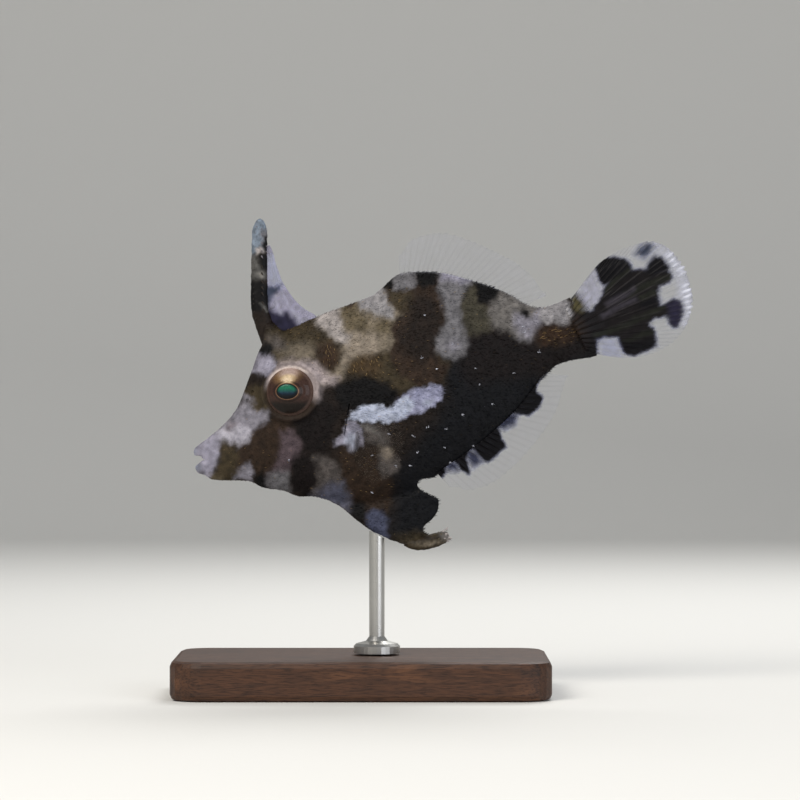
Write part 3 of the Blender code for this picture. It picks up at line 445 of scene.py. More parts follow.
def rows_of(items, field="co", width=3):
    """One field of every item as rows: by default the places of points."""
    values = np.empty(len(items) * width)
    items.foreach_get(field, values)
    return values.reshape(-1, width)


def keep(mesh, name, values):
    """Stores values for each point: a number, a vector or a colour."""
    values = np.asarray(values, float)
    width = 1 if values.ndim == 1 else values.shape[1]
    kind, field = {1: ("FLOAT", "value"), 3: ("FLOAT_VECTOR", "vector"), 4: ("FLOAT_COLOR", "color")}[width]
    mesh.attributes.new(name, kind, "POINT").data.foreach_set(field, values.ravel())


def keep_paint(mesh, painted):
    """Stores painted colours, and how solid each is, for the materials to read."""
    keep(mesh, "marking", np.column_stack((painted[:, :3], np.ones(len(painted)))))
    keep(mesh, "solid", painted[:, 3])


def evaluated(carrier):
    """The carrier's mesh with its modifiers applied."""
    graph = bpy.context.evaluated_depsgraph_get()
    solved = carrier.evaluated_get(graph)
    return bpy.data.meshes.new_from_object(solved, preserve_all_data_layers=True, depsgraph=graph)


def modified(mesh, kind, weights=(), **settings):
    """What one modifier makes of the mesh. The weights fill a group of points called soft."""
    carrier = new_object("carrier", mesh)
    if len(weights):
        group = carrier.vertex_groups.new(name="soft")
        for i, weight in enumerate(weights):
            group.add([i], float(weight), "REPLACE")
    step = carrier.modifiers.new(kind, kind)
    for name, value in settings.items():
        setattr(step, name, value)
    made = evaluated(carrier)
    bpy.data.objects.remove(carrier)
    return made


def plain_mesh(name, form):
    """The form as a mesh, with its faces left as they are."""
    mesh = bpy.data.meshes.new(name)
    form.to_mesh(mesh)
    form.free()
    return mesh


def closed_mesh(name, form):
    """A mesh from a closed form, with its faces turned outwards and shaded smooth."""
    bmesh.ops.recalc_face_normals(form, faces=form.faces)
    if form.calc_volume(signed=True) < 0:
        bmesh.ops.reverse_faces(form, faces=form.faces)
    mesh = plain_mesh(name, form)
    mesh.polygons.foreach_set("use_smooth", [True] * len(mesh.polygons))
    return mesh


def loft(form, rings):
    """Adds a skin over rings of points, capped at both ends."""
    rings = [[form.verts.new(point) for point in ring] for ring in rings]
    for low, high in zip(rings, rings[1:]):
        for k in range(len(low)):
            form.faces.new((low[k - 1], low[k], high[k], high[k - 1]))
    form.faces.new(rings[0][::-1])
    form.faces.new(rings[-1])


def smooth(table, at):
    """A smooth curve through (key, value) pairs that never overshoots them."""
    keys, values = np.asarray(table, float).T
    step = np.diff(keys)
    slope = np.diff(values) / step
    tangent = np.zeros_like(values)
    tangent[0], tangent[-1] = slope[0], slope[-1]
    for i in range(1, len(keys) - 1):
        if slope[i - 1] * slope[i] > 0:
            before, after = 2 * step[i] + step[i - 1], step[i] + 2 * step[i - 1]
            tangent[i] = (before + after) / (before / slope[i - 1] + after / slope[i])
    at = np.asarray(at, float)
    i = np.clip(np.searchsorted(keys, at) - 1, 0, len(step) - 1)
    t = (at - keys[i]) / step[i]
    lift = values[i] * (1 + 2 * t) * (1 - t) ** 2 + values[i + 1] * t * t * (3 - 2 * t)
    return lift + step[i] * (tangent[i] * t * (1 - t) ** 2 + tangent[i + 1] * t * t * (t - 1))


def along(points, shares):
    """Side-view points (x, 0, z) at shares of the length of a smooth line through points."""
    points = np.asarray(points, float)
    lengths = np.concatenate([[0], np.cumsum(np.linalg.norm(np.diff(points, axis=0), axis=1))])
    lengths /= lengths[-1]
    x, z = (smooth(np.column_stack([lengths, points[:, i]]), shares) for i in (0, 1))
    return np.column_stack([x, np.zeros_like(x), z])


# %% [markdown]
# The skin is one sleeve over head, trunk, tail stalk and belly flap. The solids meet there with a hair
# of a gap, so their copies are grown a fifth of a millimetre until they touch, remeshed as one, and
# smoothed. Lids, the rolls of the lips, a keel over the pelvis and a sheath round the foot of the spine
# are added first. Then the sleeve is shrunk back to just inside the solids, so that the bristles end
# where the solids do.

# %% Sizes of the skin and the eyes
FLESH = ("head", "trunk", "caudal_peduncle", "belly_flap")
GROW, SHRINK = 0.2, 0.27
VOXEL = 0.225
SAME_POINT = 0.002
EYE_RADII = Vector((3.9, 2.5, 3.9))
EYE_SHIFT = Vector((0.14, 0.0, -0.28))
EYE_TURN, EYE_LIFT = math.radians(9.0), math.radians(7.0)
LID_RING, LID_WIDE, LID_HIGH, LID_OUT = 3.78, 0.62, 0.5, 0.62
LID_SEGMENTS, LID_SIDES, TUBE_SIDES, TUBE_STEPS = 72, 14, 16, 24
LIPS = ((0.85, 0.64, 1.42), (1.8, 1.0, 1.4), (0.36, -1.58, 1.45))  # how far back, height, thickness
LIP_BEND, LIP_HALF_WIDTH = 1.0, 0.85
LIP_TURNS = np.radians(np.linspace(-115, 115, 25))
KEEL = (
    [(20.5, -18.0), (23.2, -21.0), (25.6, -22.9), (28.0, -23.75), (30.6, -24.1)],
    [(0, 0.5), (0.35, 0.95), (0.7, 0.95), (1, 0.6)],
)
SHEATH = ([(17.3, 11.5), (17.15, 14.2), (16.9, 16.6)], [(0, 2.3), (0.55, 1.95), (1, 1.25)])
THROAT_PIXELS = [(250, 480), (268, 483.5), (284, 485), (300, 491.5), (312, 494.5)]
THROAT = (animal_line(THROAT_PIXELS), [(0, 0.5), (0.25, 1.15), (0.75, 1.2), (1, 0.7)])


def animal_form(name):
    """The points and faces of a solid, merged, in the animal's frame."""
    form = bmesh.new()
    form.from_mesh(nodes[name].data)
    bmesh.ops.transform(form, matrix=TO_ANIMAL, verts=form.verts)
    bmesh.ops.remove_doubles(form, verts=form.verts, dist=SAME_POINT)
    return form


def eye_place(side):
    """The centre of the left (-1) or right (1) eye and the turn that points its Y axis outwards."""
    turn = Matrix.Rotation(side * EYE_TURN, 4, "Z") @ Matrix.Rotation(side * EYE_LIFT, 4, "X")
    form = animal_form("eye_left" if side < 0 else "eye_right")
    points = np.array([v.co for v in form.verts])
    form.free()
    middle = (points.min(0) + points.max(0)) / 2
    half = Vector([turn[1][i] * EYE_RADII[i] for i in range(3)]).length
    inner = points[:, 1].max() if side < 0 else points[:, 1].min()
    return Vector((middle[0], inner + side * half, middle[2])) + EYE_SHIFT, turn


EYES = {side: eye_place(side) for side in (-1, 1)}
print("eyes at", [tuple(round(c, 2) for c in EYES[s][0]) for s in EYES])


# %% [markdown]
# What the solids leave out is added as plain tubes that sink into them: a closed ring for each lid, a
# bent roll for each lip, and a tube that thins at both ends for the keel, the sheath and the throat.
# The remeshing then melts the tubes into the flesh. They could be sculpted by hand as well, but would
# not come out the same twice.


# %% Join the flesh and add the lids
def ring_of_flesh(form, place):
    """Adds a lid: a ring whose axis is the place's Y."""
    rings = []
    for a in [2 * math.pi * i / LID_SEGMENTS for i in range(LID_SEGMENTS)]:
        ring = []
        for b in [2 * math.pi * k / LID_SIDES for k in range(LID_SIDES)]:
            reach = LID_RING + LID_WIDE * math.cos(b)
            spot = Vector((reach * math.cos(a), LID_HIGH * math.sin(b), reach * math.sin(a)))
            ring.append(form.verts.new(place @ spot))
        rings.append(ring)
    for one, two in zip(rings, rings[1:] + rings[:1]):
        for k in range(LID_SIDES):
            form.faces.new((one[k], one[k - 1], two[k - 1], two[k]))


def tube_of_flesh(form, middle, radii):
    """Adds a closed round tube along a line of points."""
    rings, one = [], None
    turns = [2 * math.pi * k / TUBE_SIDES for k in range(TUBE_SIDES)]
    for i, centre in enumerate(middle):
        ahead = (middle[min(i + 1, len(middle) - 1)] - middle[max(i - 1, 0)]).normalized()
        one = (one - ahead * one.dot(ahead) if one else ahead.orthogonal()).normalized()
        two = ahead.cross(one)
        rings.append([centre + float(radii[i]) * (one * math.cos(a) + two * math.sin(a)) for a in turns])
    loft(form, rings)


def joined_flesh():
    """The flesh solids, grown until they touch, with the lids, the lips and the tubes."""
    whole = bmesh.new()
    for name in FLESH:
        form = animal_form(name)
        form.normal_update()
        for vert in form.verts:
            vert.co += vert.normal * GROW
        part = plain_mesh(name, form)
        whole.from_mesh(part)
        bpy.data.meshes.remove(part)
    for side, (centre, turn) in EYES.items():
        ring_of_flesh(whole, Matrix.Translation(centre) @ turn @ Matrix.Translation((0, side * LID_OUT, 0)))
    for at, height, radius in LIPS:
        middle = [
            Vector((at + LIP_BEND * (1 - math.cos(a)), LIP_HALF_WIDTH * math.sin(a), height))
            for a in LIP_TURNS
        ]
        tube_of_flesh(whole, middle, radius * (0.3 + 0.7 * np.cos(0.72 * LIP_TURNS)))
    shares = np.linspace(0, 1, TUBE_STEPS)
    for line, radii in (KEEL, SHEATH, THROAT):
        tube_of_flesh(whole, [Vector(p) for p in along(line, shares)], smooth(radii, shares))
    bmesh.ops.triangulate(whole, faces=whole.faces)
    return plain_mesh("flesh", whole)


flesh_mesh = joined_flesh()
print("flesh joined:", len(flesh_mesh.vertices), "points")

# %% [markdown]
# A voxel remesh turns the overlapping forms into one even net. The mouth, the notch behind the belly
# flap and the belly's wavy edge are cut with wedges and the net is made again, so that the smoothing
# rounds their edges. It is held back at the lids, the lips and the flap, which it would melt away.

# %% Remesh, smooth and shrink the sleeve
SMOOTHING_PASSES = 34
STALK_END, STALK_THINNING = (57.5, 63.0), 0.55
MOUTH_FRONT, MOUTH_BACK, MOUTH_HEIGHT = -1.5, 0.85, -0.25
MOUTH_GAPE, MOUTH_CREASE, MOUTH_CUT, FLAP_CUT = 0.9, 0.08, 4, 8
GAPE = [(MOUTH_FRONT, MOUTH_HEIGHT - MOUTH_GAPE), (MOUTH_FRONT, MOUTH_HEIGHT + MOUTH_GAPE),
        (MOUTH_BACK, MOUTH_HEIGHT + MOUTH_CREASE), (MOUTH_BACK, MOUTH_HEIGHT - MOUTH_CREASE)]
FLAP_REAR_PIXELS = [
    (446, 474), (441, 480), (431, 479.5), (421, 480.5), (418, 484), (421, 488), (430, 494), (440, 497),
    (441, 502), (440, 512), (433, 521), (425, 527), (424, 532), (470, 532), (470, 474),
]
BELLY_EDGE_PIXELS = [
    (314, 500.5), (326, 501), (332, 504), (340, 508), (348, 515), (356, 522), (364, 528), (372, 533),
    (380, 536.5), (388, 540.5), (396, 543), (404, 546), (412, 549), (420, 552), (420, 570), (314, 570),
]
FLAP_NOTCH = (31.6, -15.6)  # its innermost place, in the animal's frame
LID_FIRM = (0.08, 4.7, 1.6)  # the least softness, how far from the place it reaches, and over what width
LIP_FIRM, TIP_FIRM = (0.06, 1.8, 3.5), (0.2, -20.5, 3.5)
NOTCH_FIRM, TAIL_FIRM = (0.15, 1.8, 2.0), (0.45, -58.0, 6.0)


def wedge(form, outline, half_width, middle=0.0):
    """Adds a side-view outline (x, z) as a slab across the body."""
    one, two = ([form.verts.new((x, middle + y, z)) for x, z in outline] for y in (-half_width, half_width))
    form.faces.new(one)
    form.faces.new(two[::-1])
    for i in range(len(outline)):
        form.faces.new((two[i - 1], two[i], one[i], one[i - 1]))


def cut_away(mesh, form):
    """The mesh with the form cut out of it by an exact Boolean."""
    cutter = new_object("cutter", closed_mesh("cutter", form))
    made = modified(mesh, "BOOLEAN", operation="DIFFERENCE", solver="EXACT", object=cutter)
    bpy.data.objects.remove(cutter)
    return made


def softness(points):
    """How strongly each point may be smoothed: least at lids, lips and the thin flap."""
    x, _, z = points.T
    regions = [(x, LIP_FIRM), (z, TIP_FIRM), (-x, TAIL_FIRM)]
    regions.append((np.hypot(x - FLAP_NOTCH[0], z - FLAP_NOTCH[1]), NOTCH_FIRM))
    for centre, _ in EYES.values():
        regions.append((np.linalg.norm((points - np.array(centre)) * (1, 0.6, 1), axis=1), LID_FIRM))
    soft = [least + (1 - least) * rise((far - start) / span) for far, (least, start, span) in regions]
    return np.min(soft, axis=0)


def shrunk(mesh):
    """Moves every point inwards by the depth of the coat, and thins the end of the tail stalk."""
    points = rows_of(mesh.vertices) - rows_of(mesh.vertices, "normal") * SHRINK
    points[:, 1] *= 1 - STALK_THINNING * rise((points[:, 0] - STALK_END[0]) / (STALK_END[1] - STALK_END[0]))
    mesh.vertices.foreach_set("co", points.ravel())
    mesh.update()
    return mesh


cuts = bmesh.new()
wedge(cuts, GAPE, MOUTH_CUT)
for pixels in (FLAP_REAR_PIXELS, BELLY_EDGE_PIXELS):
    wedge(cuts, animal_line(pixels), FLAP_CUT)
sleeve = modified(flesh_mesh, "REMESH", mode="VOXEL", voxel_size=VOXEL)
sleeve = modified(cut_away(sleeve, cuts), "REMESH", mode="VOXEL", voxel_size=VOXEL)
soft = softness(rows_of(sleeve.vertices))
sleeve = modified(sleeve, "SMOOTH", soft, factor=0.5, iterations=SMOOTHING_PASSES, vertex_group="soft")
sleeve = shrunk(sleeve)
print("sleeve:", len(sleeve.vertices), "points")

# %% [markdown]
# The nostrils, two on each side, and the gill slits are cut after the smoothing, with one exact
# Boolean, so their edges stay crisp. The parting of the lips was cut before it, so the lips are round,
# and only its corner is cut here.

# %% Cut the nostrils and the gill slits
NOSTRILS, NOSTRIL_RADIUS = ((10.3, 5.9), (11.5, 6.9)), 0.3
GILL_TOP, GILL_BOTTOM = Vector((25.1, 0, 0.2)), Vector((22.8, 0, -4.1))
GILL_PLACE = (24, -2)  # where the skin's surface is felt for the slit
GILL_HALF, GILL_CUT, GILL_OUT = 0.1, 1.0, 0.5
MOUTH_CORNER_PIXELS = [(199, 456.0), (205.5, 459.8), (199, 461.8)]
FAR_OFF = 60.0  # a place well outside the fish, to look at it from


def surface_of(mesh):
    """A tree of the mesh's faces that finds where a line meets them."""
    return BVHTree.FromPolygons([v.co for v in mesh.vertices], [p.vertices for p in mesh.polygons])


def seen(surface, x, z, side):
    """The place and the normal of the surface at a side-view place, from one side of the body."""
    return surface.ray_cast(Vector((x, side * FAR_OFF, z)), Vector((0, -side, 0)))[:2]


def cut_skin(mesh):
    """The skin with its nostrils, gill slits and the corner of its mouth cut."""
    surface, form = surface_of(mesh), bmesh.new()
    gill = GILL_BOTTOM - GILL_TOP
    square = Vector((-gill.z, 0, gill.x)).normalized() * GILL_HALF
    corners = [GILL_TOP + square, GILL_BOTTOM + square, GILL_BOTTOM - square, GILL_TOP - square]
    for side in (-1, 1):
        for x, z in NOSTRILS:
            place = Matrix.Translation(seen(surface, x, z, side)[0])
            bmesh.ops.create_icosphere(form, subdivisions=2, radius=NOSTRIL_RADIUS, matrix=place)
        flank_at = seen(surface, *GILL_PLACE, side)[0].y
        wedge(form, [(p.x, p.z) for p in corners], GILL_CUT, flank_at + side * GILL_OUT)
    wedge(form, animal_line(MOUTH_CORNER_PIXELS), MOUTH_CUT)
    return cut_away(mesh, form)


skin_mesh = cut_skin(sleeve)
skin_mesh.name = "skin"
SKIN = surface_of(skin_mesh)
print("skin:", len(skin_mesh.polygons), "faces")


def ridge(x, up):
    """The height of the back (up 1) or belly (up -1) above a place on the long axis."""
    return SKIN.ray_cast(Vector((x, 0, up * FAR_OFF)), Vector((0, 0, -up)))[0].z


# %% [markdown]
# The skin carries all that the finishes and the bristles need: its colours, where each point lies on a
# flat map of the body, and how long the bristles are there and which way they lie. These are worked
# out for each point with rules in millimetres, so they need no picture and stay the same on each run.

# %% Paint the skin, and how its bristles lie
TAILWARDS, DOWNWARDS = (1.0, 0.0, -0.22), (-0.15, 0.0, -1.0)
BODY_SPAN = (-1.0, 66.0)
MIDDLE_HEIGHT = -0.5
# The second and third lid sizes place the highlight painted along the upper lid: its reach and half width.
LID_EDGE, LID_HIGHLIGHT, LID_HIGHLIGHT_HALF, BARE_LID = 4.25, 3.87, 0.36, 4.3  # in mm from the eye's axis
SHORTEST, LONGER_BACK, LONGER_STREAK, BARE = 0.30, 0.10, 0.38, 0.06  # lengths of bristles in mm
STREAK = np.array([(352, 418), (372, 412), (395, 405), (418, 396), (440, 388)])
BRUSHES = (  # ovals in pixels, and how much longer the bristles are in them
    (553, 333, 20, 12, 0.25), (326, 357, 13, 14, 0.16), (364, 366, 18, 10, 0.16),
)


def skin_paint(points):
    """The skin's colours, a pale pink lid above and behind each eye, a brown one below, and a painted lid
    highlight.
    """
    painted = paint(points, "umber", BODY_MARKINGS + HEAD_MARKINGS)
    for centre, _ in EYES.values():
        off = points - np.array(centre)
        far = np.hypot(off[:, 0], off[:, 2])
        turned = np.degrees(np.arctan2(off[:, 2], off[:, 0]))
        upper = rise((turned + 50) / 40) * (1 - rise((turned - 125) / 40))
        near = (1 - rise((far - LID_EDGE + 0.3) / 0.6)) * (np.sign(points[:, 1]) == np.sign(centre.y))
        # A thin highlight is painted in a line along the upper lid.
        arc = rise((turned - 20) / 25) * (1 - rise((turned - 118) / 25))
        edge = (1 - rise(np.abs(far - LID_HIGHLIGHT) / LID_HIGHLIGHT_HALF)) * arc * near
        for name, cover in (("brown", 0.7 * near), ("blush", near * upper), ("bright", edge)):
            painted = laid_over(painted, tone(name), cover)
    return painted


def unwrap(points):
    """A place on a flat map of the body for each point: along it, and round it from the belly."""
    along_body = (points[:, 0] - BODY_SPAN[0]) / (BODY_SPAN[1] - BODY_SPAN[0])
    round_body = np.arctan2(points[:, 1], points[:, 2] - MIDDLE_HEIGHT) / (2 * math.pi) + 0.5
    return np.column_stack([np.clip(along_body, 0, 1), round_body, np.zeros(len(points))])


def brush_cover(place, oval, start):
    """How far each place is inside a brush, from 0 to 1."""
    x, y, half_x, half_y, _ = oval
    return 1 - rise(np.hypot((place[:, 0] - x) / half_x, (place[:, 1] - y) / half_y) - start)


def bristle_length(points):
    """Longer on the white streak and the tail stalk, shorter on the head, none at lids and lips."""
    place = photo_place(points)
    reach = SHORTEST + LONGER_BACK * rise((points[:, 0] - 14) / 10)
    to_streak = np.min([np.hypot(*(place - spot).T) for spot in STREAK], axis=0)
    reach += LONGER_STREAK * (1 - rise((to_streak - 9) / 8))
    for oval in BRUSHES:
        reach += oval[-1] * brush_cover(place, oval, 0.5)
    reach *= 0.35 + 0.65 * rise((points[:, 0] - 3) / 4)
    for centre, _ in EYES.values():
        from_eye = np.hypot(points[:, 0] - centre.x, points[:, 2] - centre.z)
        reach *= rise((from_eye - BARE_LID) / 0.8)
    return reach


def bristle_lay(points):
    """Which way the bristles lie: to the tail, but straight down in the brushes of the brow."""
    place, lay = photo_place(points), np.tile(TAILWARDS, (len(points), 1))
    for oval in BRUSHES[1:]:
        lay = laid_over(lay, np.array(DOWNWARDS), brush_cover(place, oval, 0.6))
    return lay


points = rows_of(skin_mesh.vertices)
reach = bristle_length(points)
keep_paint(skin_mesh, skin_paint(points))
for name, values in (("unwrap", unwrap(points)), ("reach", reach), ("lay", bristle_lay(points))):
    keep(skin_mesh, name, values)
keep(skin_mesh, "hairy", reach > BARE)
skin_mesh.polygons.foreach_set("use_smooth", [True] * len(skin_mesh.polygons))
print("skin painted")

# %% [markdown]
# The skin's material is airbrushed, bristly hide: semi-matt, because velvet scatters the light. A fine
# stipple darkens the markings in grains, as the scale bases do, and a bump of the same grains gives
# the hide its tooth. The bristles take the skin's colours and are drier, with hardly any shine.


# %% Skin and bristle materials
def skin_finish():
    """Airbrushed bristly hide: semi-matt, with a grain of about 0.3 mm."""
    made, tree, where = new_material("bristly fish skin, airbrushed")
    marking = add(tree, "ShaderNodeAttribute", attribute_name="marking")
    grains = add(tree, "ShaderNodeTexVoronoi", {"Vector": where, "Scale": 2600.0})
    fine = add(tree, "ShaderNodeTexNoise", {
        "Vector": where, "Scale": 900.0, "Detail": 5.0, "Roughness": 0.65,
    })
    dots = add(tree, "ShaderNodeValToRGB", {"Fac": fine}, (
        (0.30, "#5a5450"), (0.5, "#c4c0bc"), (0.68, "#fffaf4"),
    ))
    hide = add(tree, "ShaderNodeMix", {0: 0.45, 6: marking, 7: dots}, **SHADE)
    rough = add(tree, "ShaderNodeMapRange", {"Value": fine, "To Min": 0.5, "To Max": 0.72})
    height = add(tree, "ShaderNodeMath", {0: grains, 1: fine}, operation="ADD")
    bump = add(tree, "ShaderNodeBump", {"Strength": 0.45, "Distance": 0.12 * MM, "Height": height})
    finish_material(tree, {
        "Base Color": hide.outputs[2], "Roughness": rough, "Normal": bump, "IOR": 1.33,
        "Specular IOR Level": 0.25,
    })
    return made


def bristle_finish():
    """The bristles: the skin's colours and hardly any shine, as dry velvet has."""
    made, tree, _ = new_material("fish skin bristles")
    marking = add(tree, "ShaderNodeAttribute", attribute_name="marking")
    finish_material(tree, {"Base Color": marking, "Roughness": 0.6, "IOR": 1.33, "Specular IOR Level": 0.18})
    return made


SKIN_FINISH, BRISTLE_FINISH = skin_finish(), bristle_finish()
skin = new_object("skin", skin_mesh, SKIN_FINISH)
print("finishes:", SKIN_FINISH.name, "and", BRISTLE_FINISH.name)

# %% [markdown]
# Each scale of this fish ends in a fine bristle, which gives it a velvet nap. Hair particles would be
# lost in an export, so Geometry Nodes scatter points over the skin, stand a three-sided spike on each,
# lean it towards the tail and make them all one real mesh.


# %% A tree that stands spikes on points
def geometry_tree(name, sizes, fields):
    """A tree with named sizes, its input's outputs, and nodes that read fields which the mesh carries."""
    tree = bpy.data.node_groups.new(name, "GeometryNodeTree")
    tree.interface.new_socket("Geometry", in_out="INPUT", socket_type="NodeSocketGeometry")
    for label, value in sizes.items():
        size = tree.interface.new_socket(label, in_out="INPUT", socket_type="NodeSocketFloat")
        size.default_value = value
    tree.interface.new_socket("Geometry", in_out="OUTPUT", socket_type="NodeSocketGeometry")
    carried = [
        add(tree, "GeometryNodeInputNamedAttribute", {"Name": field}, data_type=kind)
        for field, kind in fields.items()
    ]
    return tree, add(tree, "NodeGroupInput").outputs, carried


def stand_spikes(tree, points, aim, thick, reach, sides, finish):
    """Stands a spike on every point, along aim, realizes them and sets the finish."""
    shape = {"Vertices": sides, "Radius Top": 0.0, "Radius Bottom": 1.0, "Depth": 1.0}
    spike = add(tree, "GeometryNodeMeshCone", shape, fill_type="NONE")
    turned = add(tree, "FunctionNodeAlignRotationToVector", {"Vector": aim}, axis="Z")
    size = add(tree, "ShaderNodeCombineXYZ", {"X": thick, "Y": thick, "Z": reach})
    placed = add(tree, "GeometryNodeInstanceOnPoints", {
        "Points": points, "Instance": spike, "Rotation": turned, "Scale": size,
    })
    real = add(tree, "GeometryNodeRealizeInstances", {"Geometry": placed})
    coloured = add(tree, "GeometryNodeSetMaterial", {"Geometry": real, "Material": finish})
    add(tree, "NodeGroupOutput", {"Geometry": coloured})


def grown(name, source, tree, sizes):
    """What the tree makes of the source mesh, as a plain mesh."""
    carrier = new_object(name, source)
    step = carrier.modifiers.new(name, "NODES")
    step.node_group = tree
    for item in tree.interface.items_tree:
        if item.in_out == "INPUT" and item.name in sizes:
            step[item.identifier] = sizes[item.name]
    mesh = evaluated(carrier)
    bpy.data.objects.remove(carrier)
    mesh.name = name
    return mesh


# %% [markdown]
# The bristles are scattered with a fixed seed, so that they stand in the same places at each run. The
# nap isn't combed: every bristle strays a little from its lay. Each is a little lighter or darker than
# the skin under it, and on warm skin some are gold, which is what makes the hide look like velvet.

# %% Scatter the bristles
BRISTLE_SIZES = {"Density": 7.0, "Thickness": 0.055, "Rise": 0.55, "Stray": 0.3}
BRISTLE_SEED, STRAY_SEED, LENGTH_SEED, TUFT_SEED = 11, 3, 5, 21
BRISTLE_SIDES, SPIKE_POINTS, TUFT_PATCH = 3, 4, 0.003
PALE_GREEN, TUFT_DARKER, TUFT_SPREAD, TUFT_PALE_LESS, TIP_LIGHTER = 0.22, 0.93, 0.43, 0.28, 0.35
GOLD_TONE, GOLD_COVER, GOLD_DARK = "#a88c62", 0.5, 0.03
GOLD_WARMTH, GOLD_SHARE = (0.45, 0.57, 0.6, 0.7), (0.012, 0.04, 0.05, 0.35)  # warmer skin has more gold


def bristle_tree(finish):
    """Points over the skin, each with a leaning three-sided bristle."""
    fields = {"hairy": "FLOAT", "lay": "FLOAT_VECTOR", "reach": "FLOAT"}
    tree, start, (hairy, lay, length) = geometry_tree("bristles", BRISTLE_SIZES, fields)
    density = add(tree, "ShaderNodeMath", {0: start["Density"], 1: hairy}, operation="MULTIPLY")
    spread = add(tree, "GeometryNodeDistributePointsOnFaces", {
        "Mesh": start["Geometry"], "Density": density, "Seed": BRISTLE_SEED,
    })
    out = spread.outputs["Normal"]
    up = add(tree, "ShaderNodeVectorMath", {0: out, 3: start["Rise"]}, operation="SCALE")
    anywhere = {"Min": (-1, -1, -1), "Max": (1, 1, 1), "Seed": STRAY_SEED}
    chance = add(tree, "FunctionNodeRandomValue", anywhere, data_type="FLOAT_VECTOR")
    stray = add(tree, "ShaderNodeVectorMath", {0: chance, 3: start["Stray"]}, operation="SCALE")
    lean = add(tree, "ShaderNodeVectorMath", {0: up, 1: lay}, operation="ADD")
    aim = add(tree, "ShaderNodeVectorMath", {0: lean, 1: stray}, operation="ADD")
    vary = add(tree, "FunctionNodeRandomValue", {2: 0.6, 3: 1.3, "Seed": LENGTH_SEED}, data_type="FLOAT")
    reach = add(tree, "ShaderNodeMath", {0: vary.outputs[1], 1: length}, operation="MULTIPLY")
    stand_spikes(tree, spread, aim, start["Thickness"], reach, BRISTLE_SIDES, finish)
    return tree


def bake_map(mesh, points_each):
    """Adds the map OFBake: each tuft is a tiny patch at its root's place on the body's unwrap."""
    place = rows_of(mesh.attributes["unwrap"].data, "vector")[:, :2]
    turn = 2 * math.pi * (np.arange(len(place)) % points_each) / points_each
    place = place + TUFT_PATCH / 2 * np.column_stack([np.cos(turn), np.sin(turn)])
    corners = np.empty(len(mesh.loops), int)
    mesh.loops.foreach_get("vertex_index", corners)
    mesh.uv_layers.new(name="OFBake").uv.foreach_set("vector", place[corners].ravel())


def vary_tufts(mesh):
    """Makes each tuft lighter or darker than the skin, with a paler tip, and a few of them gold."""
    data = mesh.attributes["marking"].data
    colours = rows_of(data, "color", 4).reshape(-1, SPIKE_POINTS, 4)
    draw = np.random.default_rng(TUFT_SEED)
    pale = np.clip(colours[:, :1, 1:2] / PALE_GREEN, 0, 1)
    warmth = 1 - colours[:, 0, 2] / np.maximum(colours[:, 0, 0], 1e-4)
    lighter = draw.uniform(-1, 1, (len(colours), 1, 1))
    colours[..., :3] *= TUFT_DARKER + (TUFT_SPREAD - TUFT_PALE_LESS * pale) * lighter
    colours[:, -1, :3] *= 1 + TIP_LIGHTER * (1 - 0.7 * pale[:, 0])
    golden = draw.random(len(colours)) < np.interp(warmth, GOLD_WARMTH, GOLD_SHARE)
    light = np.clip(colours[golden][:, :1, :1] / GOLD_DARK, 0.1, 1)
    to_gold = np.array(linear(GOLD_TONE)[:3]) - colours[golden, :, :3]
    colours[golden, :, :3] += to_gold * GOLD_COVER * light
    data.foreach_set("color", np.clip(colours, 0, 0.9).ravel())


bristle_mesh = grown("bristles", skin_mesh, bristle_tree(BRISTLE_FINISH), BRISTLE_SIZES)
vary_tufts(bristle_mesh)
bake_map(bristle_mesh, SPIKE_POINTS)
bristles = new_object("bristles", bristle_mesh, BRISTLE_FINISH)
print("bristles:", len(bristle_mesh.vertices) // SPIKE_POINTS)

# %% [markdown]
# Small white papillae stand out of the flank, a few fine threads each. They are placed one by one from
# the photograph on the left flank, and the same places, a little moved, carry them on the right.

# %% Papillae
PAPILLAE = [
    (475, 368), (479, 385), (491, 404), (461, 415), (445, 429), (444, 447), (450, 462), (472, 446),
    (507, 425), (513, 373), (523, 326), (537, 352), (413, 436), (395, 466), (409, 465), (418, 451),
    (427, 426), (388, 434), (372, 456), (372, 492), (424, 316), (422, 358), (436, 369), (590, 315),
    (524, 333), (452, 344), (289, 460),
]
THREADS, THREAD_LENGTH, THREAD_THICK, THREAD_SIDES, THREAD_SINK = 4, 0.42, 0.09, 4, 0.1
PAPILLA_TONE, PAPILLA_SEED = "#b4b6c2", 5


def bare_points(rows):
    """A mesh of points with, for each, an aim, a reach, a thickness, a colour and an unwrap."""
    mesh = bpy.data.meshes.new("points")
    places, aims, reaches, widths, colours = zip(*rows)
    mesh.from_pydata(places, [], [])
    fields = {"aim": aims, "reach": reaches, "thick": widths, "marking": [linear(c) for c in colours]}
    for field, values in fields.items():
        keep(mesh, field, values)
    keep(mesh, "unwrap", unwrap(np.array(places, float)))
    return mesh


def thorn_tree(sides, finish):
    """A spike with this number of sides on every point."""
    fields = {"aim": "FLOAT_VECTOR", "thick": "FLOAT", "reach": "FLOAT"}
    tree, start, (aim, thick, length) = geometry_tree("thorns", {"Length": 1.0}, fields)
    spots = add(tree, "GeometryNodeMeshToPoints", {"Mesh": start["Geometry"]})
    reach = add(tree, "ShaderNodeMath", {0: length, 1: start["Length"]}, operation="MULTIPLY")
    stand_spikes(tree, spots, aim, thick, reach, sides, finish)
    return tree


def thorns(name, rows, sides, finish):
    """A plain mesh of spikes, one for each row."""
    return grown(name, bare_points(rows), thorn_tree(sides, finish), {"Length": 1.0})


